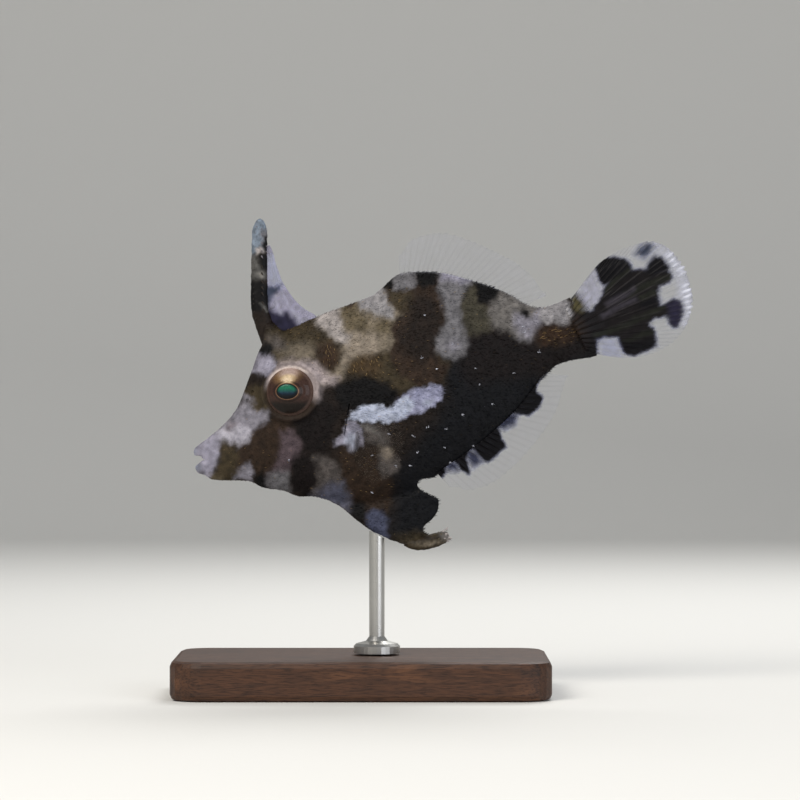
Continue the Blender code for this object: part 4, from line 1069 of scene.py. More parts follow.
def papilla_rows():
    """Threads in small bunches on both flanks."""
    draw = np.random.default_rng(PAPILLA_SEED)
    rows = []
    for pixel in PAPILLAE:
        for side in (-1, 1):
            shift = draw.normal(0, 0.5 if side > 0 else 0.05, 2)
            spot = animal_place(*pixel) + Vector((shift[0], 0, shift[1]))
            hit, normal = seen(SKIN, spot.x, spot.z, side)
            if hit is None:
                continue
            for _ in range(THREADS):
                aim = normal * 1.1 + Vector(TAILWARDS) * 0.5 + Vector(draw.normal(0, 0.45, 3))
                root = hit + Vector(draw.normal(0, 0.08, 3)) - normal * THREAD_SINK
                rows.append((root, aim, THREAD_LENGTH * draw.uniform(0.7, 1.3), THREAD_THICK, PAPILLA_TONE))
    return rows


papilla_mesh = thorns("papillae", papilla_rows(), THREAD_SIDES, BRISTLE_FINISH)
bake_map(papilla_mesh, THREAD_SIDES + 1)
papillae = new_object("papillae", papilla_mesh, BRISTLE_FINISH)
print("papillae:", len(papilla_mesh.polygons), "faces")

# %% [markdown]
# The eye is a flattened ball, wet and glossy, with an oval pupil that stands a little proud. The iris
# is cream above and dark brown below, a thin ring edges the pupil, and the pupil shines green above
# and is blue-black below, with a bluish sheen painted in its middle. The colours go round the eye's
# own axis, so both eyes match.

# %% Eyes
PUPIL_RADII, PUPIL_AHEAD, PUPIL_PROUD, PUPIL_MOAT = (1.72, 1.22), -0.3, 0.16, 0.05
EYE_SEGMENTS, EYE_RINGS, EYE_BACK_RINGS = 144, 84, 14
EYE_TONES = {
    "iris": "#3a2822", "cream": "#cdb796", "gold": "#7d6140", "ring": "#8e6c50", "green": "#17634a",
    "bluish sheen": "#22384a", "pupil": "#05060a", "rim": "#5d4b44", "deep": "#17110d", "veil": "#b3a09b",
}


def eye_colour(across, up):
    """The eye's colour at a place on it, in mm from its axis: across is towards the tail."""
    oval, far = np.hypot(across / PUPIL_RADII[0], up / PUPIL_RADII[1]), np.hypot(across, up)
    turned = np.degrees(np.arctan2(up, across - 0.1))
    above = 1 - rise((np.abs(turned - 100) - 20) / 42)
    brow = 1 - rise((np.abs(turned - 94) - 8) / 34)
    made = np.tile(tone("iris", EYE_TONES), (len(across), 1))
    layers = [
        ("deep", rise((-up - 0.9) / 1.2)),
        ("gold", 0.85 * above * rise((far - 0.9) / 0.6)),
        ("veil", 0.75 * brow * rise((far - 2.3) / 0.5)),
        ("cream", brow * rise((far - 1.2) / 0.3) * (1 - rise((far - 2.2) / 0.8))),
        ("rim", rise((far - 3.2) / 0.3) * 0.7 * (1 - brow)),
        ("deep", (1 - rise(np.abs(oval - 1.25) / 0.14)) * 0.7 * (1 - 0.8 * brow)),
        ("ring", (1 - rise((oval - 1.03) / 0.05)) * (1 - 0.5 * brow)),
        ("pupil", 1 - rise((oval - 0.98) / 0.05)),
        # A bluish sheen is painted in the middle of the pupil.
        ("bluish sheen", (1 - rise((oval - 0.55) / 0.4)) * rise((up + 0.9) / 1.1)),
        ("green", (1 - rise((oval - 0.7) / 0.26)) * rise((up + 0.35) / 0.9)),
    ]
    for name, cover in layers:
        made = laid_over(made, tone(name, EYE_TONES), cover)
    return made


def eye_mesh(side):
    """A fine flattened ball. Its rings are ovals like the pupil's in the middle and circles outside."""
    reach = EYE_RADII.x * np.sin(np.linspace(0, math.pi / 2, EYE_RINGS + 1))[1:]
    turns = 2 * math.pi * np.arange(EYE_SEGMENTS) / EYE_SEGMENTS
    shape = PUPIL_RADII[1] / PUPIL_RADII[0]
    tall = shape + (1 - shape) * rise((reach / EYE_RADII.x - 0.52) / 0.4)
    across, up = np.outer(reach, np.cos(turns)), np.outer(reach * tall, np.sin(turns))
    oval = np.hypot(across / PUPIL_RADII[0], up / PUPIL_RADII[1])
    depth = EYE_RADII.y * np.sqrt(np.clip(1 - (across ** 2 + up ** 2) / EYE_RADII.x ** 2, 0, 1))
    out = depth + PUPIL_PROUD * (1 - rise((oval - 0.75) / 0.5))
    out -= PUPIL_MOAT * np.exp(-((oval - 1.4) / 0.15) ** 2)
    back = np.linspace(1, 0, EYE_BACK_RINGS + 2)[1:-1]
    across = np.vstack([across, np.outer(EYE_RADII.x * back, np.cos(turns))]).ravel()
    shift = PUPIL_AHEAD * np.repeat(np.append(1 - reach / EYE_RADII.x, 0 * back), EYE_SEGMENTS)
    up = np.vstack([up, np.outer(EYE_RADII.x * back, np.sin(turns))]).ravel()
    behind = -EYE_RADII.y * np.sqrt(1 - back ** 2)
    out = np.concatenate([out.ravel(), np.repeat(behind, EYE_SEGMENTS)])
    level = Matrix.Rotation(PITCH, 3, "Y")
    centre, turn = EYES[side]
    places = zip(across + shift, out, up)
    dots = [centre + turn @ (level @ Vector((a, side * b, c))) for a, b, c in places]
    form = bmesh.new()
    loft(form, [dots[i:i + EYE_SEGMENTS] for i in range(0, len(dots), EYE_SEGMENTS)])
    mesh = closed_mesh("eye", form)
    keep_paint(mesh, eye_colour(across, up))
    return mesh


def eye_finish():
    """Cast clear resin over a painted iris: colour from the paint, a hard wet gloss over it."""
    made, tree, where = new_material("painted eye under clear resin")
    marking = add(tree, "ShaderNodeAttribute", attribute_name="marking")
    threads = add(tree, "ShaderNodeTexNoise", {"Vector": where, "Scale": 3500.0, "Detail": 3.0})
    fleck = add(tree, "ShaderNodeValToRGB", {"Fac": threads}, ((0.35, "#b8b0a8"), (0.65, "#ffffff")))
    iris = add(tree, "ShaderNodeMix", {0: 0.5, 6: marking, 7: fleck}, **SHADE)
    finish_material(tree, {
        "Base Color": iris.outputs[2], "Roughness": 0.5, "IOR": 1.3, "Specular IOR Level": 0.2,
        "Coat Weight": 0.3, "Coat Roughness": 0.07, "Coat IOR": 1.36,
    })
    return made


EYE_FINISH = eye_finish()
eyeballs = {
    side: new_object(name, eye_mesh(side), EYE_FINISH)
    for side, name in ((-1, "left_eyeball"), (1, "right_eyeball"))
}
print("eyes:", len(eyeballs[-1].data.polygons), "faces each")

# %% [markdown]
# A fin is a closed thin plate between its root and its margin, as wide as its rays' fan, and the rays
# are ridges raised in its own surface. The solid fins are made in the same way with few columns. Here
# each ray has eight or more, and carries its own tone, so the film between can be almost clear.

# %% Fin plates
FIN_TONES = {
    "film": ("#8f92a6", 0.055), "ray": ("#7c7d86", 0.22), "clear ray": ("#85868f", 0.1),
    "black": ("#060508", 0.98), "umber": ("#100d0e", 0.98), "olive": ("#181914", 0.97),
    "grey": ("#2e2b31", 0.96), "white": ("#d6d8e2", 0.85), "rim": ("#a6a8b8", 0.3),
    "lilac": ("#8f8fa6", 0.34), "dim": ("#2d3043", 0.85), "purple": ("#1f1d2e", 0.95),
    "indigo": ("#25243f", 0.8), "smoky": ("#353b4b", 0.88), "fan": ("#3d3731", 0.04),
    "fan ray": ("#4b453f", 0.09), "blue film": ("#8489ab", 0.3), "golden": ("#454029", 0.97),
}
MEMBRANE, RAY_RIDGE = 0.12, 0.17  # half the thickness of a film and the height of a ray, in mm
ROOT_SHARE = 0.3  # how far out the stout root goes


def fin_plate(name, root, margin, half_thickness, sway):
    """A closed plate. root and margin are rows of points, the rest grids of columns by rows."""
    columns, rows = half_thickness.shape
    share = np.linspace(0, 1, rows)[None, :, None]
    middle = root[:, None] * (1 - share) + margin[:, None] * share
    middle[..., 1] += sway
    sheets = []
    for side in (-1, 1):
        sheet = middle.copy()
        sheet[..., 1] += side * half_thickness
        sheets.append(sheet.reshape(-1, 3))
    index = np.arange(columns * rows).reshape(columns, rows)
    quads = np.stack([index[:-1, :-1], index[1:, :-1], index[1:, 1:], index[:-1, 1:]], -1).reshape(-1, 4)
    edge = np.concatenate([index[:-1, 0], index[-1, :-1], index[:0:-1, -1], index[0, :0:-1]])
    behind = columns * rows
    rim = np.stack([edge, np.roll(edge, -1), np.roll(edge, -1) + behind, edge + behind], -1)
    mesh = bpy.data.meshes.new(name)
    faces = np.concatenate([quads[:, ::-1], quads + behind, rim])
    mesh.from_pydata(np.concatenate(sheets).tolist(), [], faces.tolist())
    form = bmesh.new()
    form.from_mesh(mesh)
    bpy.data.meshes.remove(mesh)
    return closed_mesh(name, form)


def steps_out(rows):
    """How far out each row of a fin is, from 0 at its root to 1 at its margin."""
    return np.linspace(0, 1, rows)[None, :]


def fin_thickness(root_half, out, ridges, fall, thinning):
    """Half the thickness of a fin: stout at its root, thin film beyond it, with ridges for the rays."""
    root = (root_half - MEMBRANE) * np.clip(1 - out / ROOT_SHARE, 0, 1) ** fall
    return (MEMBRANE + root + ridges) * (1 - thinning * out)


def round_root(shares):
    """How thick a fin's root is along it: 1 in the middle, and thin at both ends as the flesh is."""
    return np.sqrt(np.sin(math.pi * np.clip(shares, 0.015, 0.985)))[:, None]


def crest(shares, rays):
    """1 on each ray and 0 between, with rays that take a third of the width."""
    across = np.abs(((shares * rays) % 1.0) - 0.5) * 2
    return np.clip((across - 0.55) / 0.35, 0, 1) ** 0.8


def flat_points(mesh):
    """A plate's points pressed flat, so that both its faces take the same paint."""
    return rows_of(mesh.vertices) * (1, 0, 1)


def both_faces(grid):
    """A grid of columns by rows as one value for each point of a plate."""
    return np.tile(grid.ravel(), 2)


def tint(painted, cover, name):
    """Lays one fin tone over painted points where cover says."""
    return laid_over(painted, tone(name, FIN_TONES), cover)


def fin_finish():
    """Fin film cast in clear, slightly milky resin: see-through where the paint is thin."""
    made, tree, where = new_material("clear fin film, cast resin")
    marking = add(tree, "ShaderNodeAttribute", attribute_name="marking")
    solid = add(tree, "ShaderNodeAttribute", attribute_name="solid").outputs["Fac"]
    milk = add(tree, "ShaderNodeTexNoise", {"Vector": where, "Scale": 1400.0, "Detail": 4.0})
    uneven = add(tree, "ShaderNodeMapRange", {"Value": milk, "To Min": 0.9, "To Max": 1.2})
    alpha = add(tree, "ShaderNodeMath", {0: solid, 1: uneven}, operation="MULTIPLY", use_clamp=True)
    bump = add(tree, "ShaderNodeBump", {"Strength": 0.2, "Distance": 0.05 * MM, "Height": milk})
    finish_material(tree, {
        "Base Color": marking, "Roughness": 0.45, "IOR": 1.33, "Specular IOR Level": 0.2, "Alpha": alpha,
        "Normal": bump,
    })
    return made


FIN_FINISH = fin_finish()
print(len(FIN_TONES), "tones of the fins")

# %% [markdown]
# The soft dorsal and the anal fin are one form, seen from above and from below the body: some 25 rays
# that lean back, longest in front, with a soft wave along the margin. Their roots follow the skin,
# which is felt with rays. The dorsal fin is clear, and black lobes are painted on the anal fin.

# %% Soft dorsal and anal fins
SOFT_RAY, FIN_ROOT, SINK, SOFT_SWAY, RAY_TIPS = 6.3, 0.6, 0.25, 0.55, 0.03
SOFT_COLUMNS, SOFT_ROWS, SOFTENED = 10, 26, 13
SOFT_HEIGHTS = [(0, 0.42), (0.08, 0.82), (0.25, 1.0), (0.7, 0.88), (1, 0.5)]
LOW_FIN_MARKINGS = [
    ("smoky gap, rear", "dim", 3, "495,412 520,413 516,424 504,430 497,428"),
    ("smoky gap, middle", "dim", 3, "466,448 478,452 484,462 474,468 467,460"),
    ("smoky gap, front", "dim", 3, "444,458 458,463 459,471 447,472"),
    ("rear lobe", "black", 1.2, "562,352 554,370 545,373 538,381 537,391 544,397 543,402 537,410 529,417 "
     "522,415 513,413 500,412 486,400 500,376 530,356"),
    ("second lobe", "black", 1.2, "480,396 497,413 495,420 496,427 500,431 502,439 506,442 507,447 502,451 "
     "496,456 487,464 480,456 475,450 464,440"),
    ("third lobe", "black", 1.2, "452,438 470,448 466,460 471,470 469,475 460,470 457,464 448,455"),
    ("front lobe", "black", 1.2, "428,450 445,458 446,472 441,479 428,480 416,470"),
]


def soft_fin(name, start, end, rays, up, markings):
    """The long dorsal or anal fin: rays that lean back, longest in front."""
    shares = np.linspace(0, 1, rays * SOFT_COLUMNS + 1)
    x = start + (end - start) * shares
    height = np.pad([ridge(v, up) for v in x], SOFTENED // 2, "edge")
    height = np.convolve(height, np.ones(SOFTENED) / SOFTENED, "valid")
    root = np.column_stack([x, np.zeros_like(x), height - up * SINK])
    slope = np.arctan2(np.gradient(height), np.gradient(x))
    square = slope + up * math.pi / 2 - up * np.radians(12 + 30 * shares)
    length = SOFT_RAY * smooth(SOFT_HEIGHTS, shares) * (1 + RAY_TIPS * crest(shares, rays)) + SINK
    aim = np.column_stack([np.cos(square), np.zeros_like(square), np.sin(square)])
    out, ray = steps_out(SOFT_ROWS), crest(shares, rays)[:, None]
    thick = fin_thickness(FIN_ROOT, out, RAY_RIDGE * ray * (1.1 - 0.8 * out), 1.5, 0.35)
    sway = SOFT_SWAY * out ** 2 * np.sin(2 * math.pi * (1.6 * shares[:, None] + 0.15))
    mesh = fin_plate(name, root, root + aim * length[:, None], thick, sway)
    points = flat_points(mesh)
    painted = tint(paint(points, "film", [], FIN_TONES), both_faces(ray * (1 - 0.5 * out)), "clear ray")
    over = paint(points, "film", markings, FIN_TONES, 0.5)
    keep_paint(mesh, laid_over(painted, over, (over[:, 3] - 0.1) / 0.2))
    return new_object(name, mesh, FIN_FINISH)


soft_dorsal = soft_fin("dorsal_fin_film", 38.9, 56.2, 26, 1, [])
anal = soft_fin("anal_fin_film", 34.4, 55.6, 25, -1, LOW_FIN_MARKINGS)
print("soft fins:", len(soft_dorsal.data.polygons), len(anal.data.polygons), "faces")

# %% [markdown]
# The tail fan has twelve rays that fork twice, so its margin is a comb of white tips. Black markings
# lie over the rays in rough rows, with clear windows between them.

# %% Tail fin
TAIL_ROOT = ((62.9, 5.0), (64.2, -5.4))
TAIL_MARGIN = [
    (64.6, 5.5), (66.5, 6.9), (69.5, 8.5), (73.5, 9.2), (76.6, 9.1), (78.9, 7.9), (80.4, 5.5), (81.1, 2.6),
    (80.9, -0.8), (79.6, -3.8), (77.5, -6.0), (74.7, -7.3), (71.5, -7.7), (68.0, -7.0), (65.5, -5.9),
]
TAIL_RAYS, TAIL_COLUMNS, TAIL_ROWS = 12, 32, 46
TAIL_SINK, TAIL_ROOT_HALF, TAIL_SWAY, TAIL_RIDGE = 1.6, 1.25, 0.7, 1.3
FORKS = ((0.35, 0.2), (0.7, 0.15))  # how far out the rays fork, and over what length
TAIL_MARKINGS = [
    ("pale upper base", "lilac", 3, "575,299 580,286 592,267 598,272 598,284 604,288 598,302 "
     "590,310 582,306"),
    ("pale rim", "rim", 3, "652,240 668,240 690,256 698,280 698,326 680,326 682,304 676,298 678,288 676,276 "
     "672,266 664,258 654,254"),
    ("smoky top", "smoky", 3, "634,254 640,245 651,243 657,247 652,253 645,258"),
    ("indigo gap", "indigo", 3, (638, 275, 9, 6, -10)),
    ("streaked middle", "umber", 1.6, "562,300 575,306 582,310 592,310 600,298 606,286 616,280 626,272 "
     "640,268 655,271 668,270 674,275 671,281 660,286 659,296 661,305 666,303 674,299 682,301 684,309 "
     "681,320 678,328 673,329 669,323 666,317 655,318 650,323 656,331 656,345 646,352 634,356 624,354 "
     "619,345 617,338 604,339 598,342 598,362 562,362"),
    ("golden foot", "golden", 3, "569,299 576,293 583,301 587,308 581,312 571,311"),
    ("upper black spot", "black", 1.5, "595,268 603,258 614,256 625,258 632,264 632,273 622,278 612,283 "
     "603,286 598,281 597,275"),
    ("rear black spot", "black", 2, "644,271 648,262 654,256 662,256 667,263 671,269 666,273 "
     "655,275 648,275"),
    ("black heart", "black", 3, "608,297 624,288 636,281 640,283 630,290 612,302"),
    ("black behind the heart", "black", 3, "640,300 656,295 660,299 659,305 648,309 640,308"),
    ("olive upper ray", "olive", 1.5, "602,290 612,280 628,268 631,271 616,284 606,294"),
    ("long olive ray", "olive", 1.5, "622,292 640,284 658,278 672,273 674,278 660,284 644,290 628,297"),
    ("grey ray", "grey", 1.5, "604,303 618,295 634,286 636,290 622,299 608,307"),
    ("second grey ray", "grey", 1.5, "600,315 616,305 636,296 638,301 620,309 604,319"),
    ("olive ray behind it", "olive", 1.5, "638,296 654,289 660,290 658,294 642,301"),
    ("low dark ray", "olive", 1.5, "592,334 612,327 630,320 648,311 664,304 666,308 650,317 632,326 "
     "614,332 596,339"),
    ("lowest olive ray", "olive", 1.5, "622,341 636,335 652,328 655,332 640,339 626,344"),
    ("heart of the lower lobe", "black", 3, "622,343 640,341 654,338 655,346 645,351 634,353 624,350"),
    ("indigo rear spot", "purple", 2, "668,304 674,299 682,301 684,309 681,320 678,328 673,329 669,321"),
    ("lower clear base", "blue film", 2.5, "599,341 605,339 616,339 619,346 623,358 600,360"),
]
TIP_REGION = "655,236 672,238 696,262 704,290 698,328 684,326 684,300 676,270 662,252"


def forked_rays(shares, out):
    """1 on the rays and 0 between them: each ray is one, then two, then four."""
    across = np.abs(shares * TAIL_RAYS % 1.0 - 0.5)[:, None]
    one = np.clip(1 - across / 0.16, 0, 1)
    two = np.clip(1 - np.abs(across - 0.25) / 0.1, 0, 1)
    four = np.clip(1 - np.abs(np.abs(across - 0.25) - 0.125) / 0.07, 0, 1)
    first, second = (rise((out - start) / length) for start, length in FORKS)
    return one * (1 - first) + two * first * (1 - second) + four * second


def tail_paint(points, ray, out, comb, ends):
    """The markings, the rays over them, the white tips, and the body's own paint on the root."""
    painted = paint(points, "film", TAIL_MARKINGS, FIN_TONES, 0.5)
    solid, rays = painted[:, 3] > 0.7, both_faces(ray)
    painted = tint(painted, rays * 0.5 * ~solid, "ray")
    painted = tint(painted, rays * 0.22 * solid * np.clip(painted[:, 0] / 0.01, 0, 1), "grey")
    streaks = np.clip(wander(points, 2.2, 1.6)[:, 0] + 0.75, 0, 1)
    tips = both_faces(comb[:, None] * rise((out - 0.78) / 0.1) * ends[:, None])
    tips = tips * marking_cover(photo_place(points), 3, TIP_REGION) * streaks
    base = both_faces(np.broadcast_to(1 - rise((out - 0.07) / 0.08), ray.shape))
    return laid_over(tint(painted, tips, "white"), paint(points, "umber", BODY_MARKINGS), base)


def tail_fin():
    """The fan, its rays forked, with its markings and its white tips."""
    shares = np.linspace(0, 1, TAIL_RAYS * TAIL_COLUMNS + 1)
    top, bottom = (np.array([x, 0.0, z]) for x, z in TAIL_ROOT)
    root = top + (bottom - top) * (0.12 + 0.76 * shares)[:, None] - np.array([TAIL_SINK, 0, 0])
    margin = along(TAIL_MARGIN, shares)
    comb = 0.5 - 0.5 * np.cos(8 * math.pi * shares * TAIL_RAYS)
    ends = np.clip(np.sin(math.pi * shares) * 2.2, 0, 1)
    uneven = 0.5 + 0.5 * np.sin(shares * 61.0 + 2 * np.sin(shares * 23.0))
    margin = margin + (margin - root) * ((comb - 0.6) * 0.02 * ends * uneven)[:, None]
    out = steps_out(TAIL_ROWS) ** 0.9
    ray = forked_rays(shares, out)
    thick = fin_thickness(TAIL_ROOT_HALF * round_root(shares), out, RAY_RIDGE * TAIL_RIDGE * ray, 1.3, 0.45)
    sway = TAIL_SWAY * out ** 2 * np.sin(math.pi * (shares[:, None] + 0.2))
    mesh = fin_plate("tail_fin_film", root, margin, thick, sway)
    keep_paint(mesh, tail_paint(flat_points(mesh), ray, out, comb, ends))
    return new_object("tail_fin_film", mesh, FIN_FINISH)


tail = tail_fin()
print("tail fin:", len(tail.data.polygons), "faces")

# %% [markdown]
# Each pectoral fin is a small clear fan behind the gill slit, turned out from the flank. In the
# photograph it is blurred over the white streak, nearly invisible but for pale flecks.

# %% Pectoral fins
PECTORAL_TOP, PECTORAL_BOTTOM = Vector((24.5, 0, -4.3)), Vector((23.3, 0, -6.9))
PECTORAL_RAYS, PECTORAL_RAY, PECTORAL_OUT = 11, 8.4, math.radians(28.0)
PECTORAL_COLUMNS, PECTORAL_ROWS, PECTORAL_ROOT, PECTORAL_SWAY, PECTORAL_CLEAR = 10, 24, 0.55, 0.9, 0.5
PECTORAL_LENGTHS = [(0, 0.8), (0.3, 1.0), (0.6, 0.96), (1, 0.6)]
PECTORAL_BASE_SHADE = (0.62, 0.62, 0.62, 1.0)


def pectoral_fin(side):
    """One rounded fan, made flat and then turned out about its root."""
    line, hinge = PECTORAL_TOP - PECTORAL_BOTTOM, (PECTORAL_TOP + PECTORAL_BOTTOM) / 2
    shares = np.linspace(0, 1, PECTORAL_RAYS * PECTORAL_COLUMNS + 1)
    zero, angle = np.zeros_like(shares), np.radians(22 - 80 * shares)
    root = np.column_stack([zero - SINK, zero, line.length / 2 * (1 - 2 * shares)])
    length = PECTORAL_RAY * smooth(PECTORAL_LENGTHS, shares)
    length = length * (1 + RAY_TIPS * crest(shares, PECTORAL_RAYS))
    margin = root + length[:, None] * np.column_stack([np.cos(angle), zero, np.sin(angle)])
    out, ray = steps_out(PECTORAL_ROWS), crest(shares, PECTORAL_RAYS)[:, None]
    thick = fin_thickness(PECTORAL_ROOT * round_root(shares), out, RAY_RIDGE * ray * out, 1.5, 0.45)
    sway = side * -PECTORAL_SWAY * np.broadcast_to(out ** 2, thick.shape)
    mesh = fin_plate("pectoral", root, margin, thick, sway)
    skin_at = abs(seen(SKIN, hinge.x, hinge.z, side)[0].y) + PECTORAL_CLEAR
    place = Matrix.Translation((hinge.x, side * skin_at, hinge.z))
    lean = Matrix.Rotation(math.atan2(line.x, line.z), 4, "Y")
    mesh.transform(place @ lean @ Matrix.Rotation(side * PECTORAL_OUT, 4, "Z"))
    painted = paint(flat_points(mesh), "fan", [], FIN_TONES)
    painted = tint(painted, both_faces(ray * (1 - 0.4 * out)), "fan ray")
    base = both_faces(np.broadcast_to(1 - rise((out - 0.03) / 0.12), thick.shape))
    body = paint(rows_of(mesh.vertices), "umber", BODY_MARKINGS + HEAD_MARKINGS) * PECTORAL_BASE_SHADE
    keep_paint(mesh, laid_over(painted, body, base))
    return new_object("pectoral_film_left" if side < 0 else "pectoral_film_right", mesh, FIN_FINISH)


pectorals = {side: pectoral_fin(side) for side in (-1, 1)}
print("pectoral fins:", len(pectorals[-1].data.polygons), "faces each")

# %% [markdown]
# The first dorsal spine is a stout bone in thin skin, over the eye, with rows of down-turned barbs.
# It is lofted from oval rings with a fine tubercle relief. The barbs are spikes that Geometry Nodes
# stand on it. A thin web with folds ties it to the back.

# %% First dorsal spine and its barbs
SPINE_LINE = [
    (16.6, 13.6), (16.6, 17.7), (17.1, 20.0), (17.8, 22.1), (18.7, 24.7), (20.2, 28.9), (21.3, 31.9),
]
SPINE_DEPTH, SPINE_WIDTH, SPINE_SINK, SPINE_POINT = (1.4, 1.15), (1.0, 0.45), 2.4, 0.86
TUBE_RING, SPINE_STEPS, TANGENT, SIDEWAYS = 40, 110, 0.02, (0.0, 1.0, 0.0)
TUBERCLE, TUBERCLES = 0.07, ((1.6, 1.0), (4.2, 0.5))  # how high they are, and each noise's grain and share
BARB_SEED, BARB_SIDES, BARB_WIDTH = 8, 8, 0.2
BARBS = (  # which way each pair of rows faces (across, back), and its count, first, last and length
    (1, 0.5, 12, 0.25, 0.97, 1.25), (0.3, 1.0, 5, 0.74, 0.97, 1.5), (0.7, -0.8, 16, 0.2, 0.97, 0.55),
)
SPINE_MARKINGS = [
    ("icy tip", "ice", 3, "244,206 276,206 274,236 264,246 252,256 244,250"),
    ("grey rear of the tip", "grey", 2, "261,231 270,231 270,250 263,250"),
    ("black notches of the tip", "black", 1.2, "264,237 270,237 270,252 265,252 263,245"),
    ("white fleck", "pale", 1.2, "256,249 262,247 265,252 258,256"),
    ("grey middle", "dull", 2, "244,254 258,257 262,270 270,276 258,281 244,281"),
    ("slate spot", "black", 1.8, "260,256 270,254 270,266 264,271 260,266"),
    ("pale fleck", "light", 1.2, "257,273 263,271 265,276 261,278"),
    ("black band", "black", 2, "244,280 258,280 268,285 278,292 276,300 270,306 268,312 246,312"),
    ("pale streak", "dull", 1, "259,304 262,304 268,311 266,314"),
]
SPINE_TONES = dict(TONES, ice="#6d7885", dull="#4e4d4b", light="#706d69")


def bone_finish():
    """Bone in thin rough skin: pale at the tip, dark and grainy below."""
    made, tree, where = new_material("spine bone in rough skin")
    marking = add(tree, "ShaderNodeAttribute", attribute_name="marking")
    grain = add(tree, "ShaderNodeTexNoise", {
        "Vector": where, "Scale": 2200.0, "Detail": 4.0, "Roughness": 0.7,
    })
    fleck = add(tree, "ShaderNodeValToRGB", {"Fac": grain}, ((0.32, "#7d756c"), (0.55, "#ffffff")))
    hide = add(tree, "ShaderNodeMix", {0: 0.6, 6: marking, 7: fleck}, **SHADE)
    bump = add(tree, "ShaderNodeBump", {"Strength": 0.5, "Distance": 0.1 * MM, "Height": grain})
    finish_material(tree, {
        "Base Color": hide.outputs[2], "Roughness": 0.5, "IOR": 1.33, "Specular IOR Level": 0.25,
        "Normal": bump,
    })
    return made


def spine_frame(shares):
    """The middle of the spine at shares of its height, with the ways up and back from there."""
    above, below = np.minimum(1, shares + TANGENT), np.maximum(0, shares - TANGENT)
    up = along(SPINE_LINE, above) - along(SPINE_LINE, below)
    up /= np.linalg.norm(up, axis=1)[:, None]
    return along(SPINE_LINE, shares), up, np.column_stack([up[:, 2], np.zeros(len(up)), -up[:, 0]])


def thinning(ends, shares):
    """A measure that goes from its first to its last value."""
    return ends[0] + (ends[1] - ends[0]) * shares


def tube(name, middle, back, depth, width):
    """A closed rough tube round a middle line: depth is half its size along back, width across."""
    turns = 2 * math.pi * np.arange(TUBE_RING) / TUBE_RING
    across = np.tile(SIDEWAYS, (len(middle), 1))
    ring = np.cos(turns)[None, :, None] * (back * depth[:, None])[:, None]
    ring = ring + np.sin(turns)[None, :, None] * (across * width[:, None])[:, None]
    points = (middle[:, None] + ring).reshape(-1, 3)
    rough = [sum(share * noise.noise(Vector(p) * grain) for grain, share in TUBERCLES) for p in points]
    centre = np.repeat(middle, TUBE_RING, axis=0)
    points = centre + (points - centre) * (1 + TUBERCLE * np.array(rough))[:, None]
    form = bmesh.new()
    loft(form, points.reshape(len(middle), TUBE_RING, 3))
    return closed_mesh(name, form)


def spine_mesh():
    """The lofted spine, sunk a little into the back."""
    shares = np.linspace(0, 1, SPINE_STEPS)
    middle, up, back = spine_frame(shares)
    middle[0] -= up[0] * SPINE_SINK
    rounding = np.clip((shares - SPINE_POINT) / (1 - SPINE_POINT), 0, 1) ** 2
    close = np.sqrt(np.clip(1 - rounding, 0.01, 1))
    depth, width = (thinning(ends, shares) * close for ends in (SPINE_DEPTH, SPINE_WIDTH))
    return tube("first_dorsal_spine", middle, back, depth, width)


def barb_rows(across, backwards, count, first, last, length):
    """Down-turned barbs in a row on each side."""
    draw = np.random.default_rng(BARB_SEED)
    made = []
    for sideways in (-across, across):
        for n in range(count):
            share = np.array([first + (last - first) * (n + draw.uniform(0, 0.5)) / count])
            middle, up, back = (Vector(v[0]) for v in spine_frame(share))
            size = 1 - 0.5 * share[0]
            root = middle + back * backwards * SPINE_DEPTH[0] * size * 0.8
            root += Vector((0, sideways * SPINE_WIDTH[0] * size * 0.8, 0))
            aim = back * backwards + Vector((0, sideways, 0)) - up * 0.75
            colour = "#6d6a70" if share[0] > 0.62 else "#2f2a27"
            made.append((root, aim, length * size * draw.uniform(0.8, 1.25), BARB_WIDTH * size, colour))
    return made


def joined(name, meshes, finish):
    """One mesh from several that carry the same attributes."""
    pieces = [new_object(name, mesh, finish) for mesh in meshes]
    with bpy.context.temp_override(active_object=pieces[0], selected_editable_objects=pieces):
        bpy.ops.object.join()
    return pieces[0]


BONE_FINISH = bone_finish()
bone = spine_mesh()
keep_paint(bone, paint(rows_of(bone.vertices), "umber", SPINE_MARKINGS, SPINE_TONES, 0.5))
barb_mesh = thorns("barbs", [barb for rows in BARBS for barb in barb_rows(*rows)], BARB_SIDES, BONE_FINISH)
print("spine:", len(bone.polygons), "faces,", len(barb_mesh.polygons) // BARB_SIDES, "barbs")

# %% [markdown]
# The web is one more plate, from the rear edge of the spine to the skin of the back, with its folds
# raised in it and its foot drawn under the skin. It is duller than the other films, and a purple
# blotch covers its foot.

# %% The web behind the spine
WEB_EDGE = [
    (21.4, 27.5), (21.5, 26.4), (21.35, 24.3), (21.35, 22.2), (21.6, 20.7), (22.0, 19.1), (22.8, 17.2),
    (23.8, 15.8), (24.8, 14.9), (25.9, 14.0),
]
WEB_COLUMNS, WEB_ROWS, WEB_SINK, WEB_FOOT, WEB_TOP = 90, 24, 0.8, 1.6, 0.78
WEB_HALF, WEB_FOLD, WEB_FOOT_HALF, WEB_SWAY = 0.13, 0.05, 0.35, 0.16
WEB_MARKINGS = [
    ("blue window", "blue film", 3, "264,255 276,252 284,285 272,288 266,272"),
    ("dusky wisp", "smoky", 2, "262,284 272,287 281,285 280,290 275,295 268,308"),
    ("purple foot", "purple", 2.5, "258,314 269,308 275,312 281,314 287,311 293,318 299,326 306,330 "
     "300,342 258,342"),
]
WEB_TONES = dict(FIN_TONES, film=("#85829a", 0.5))


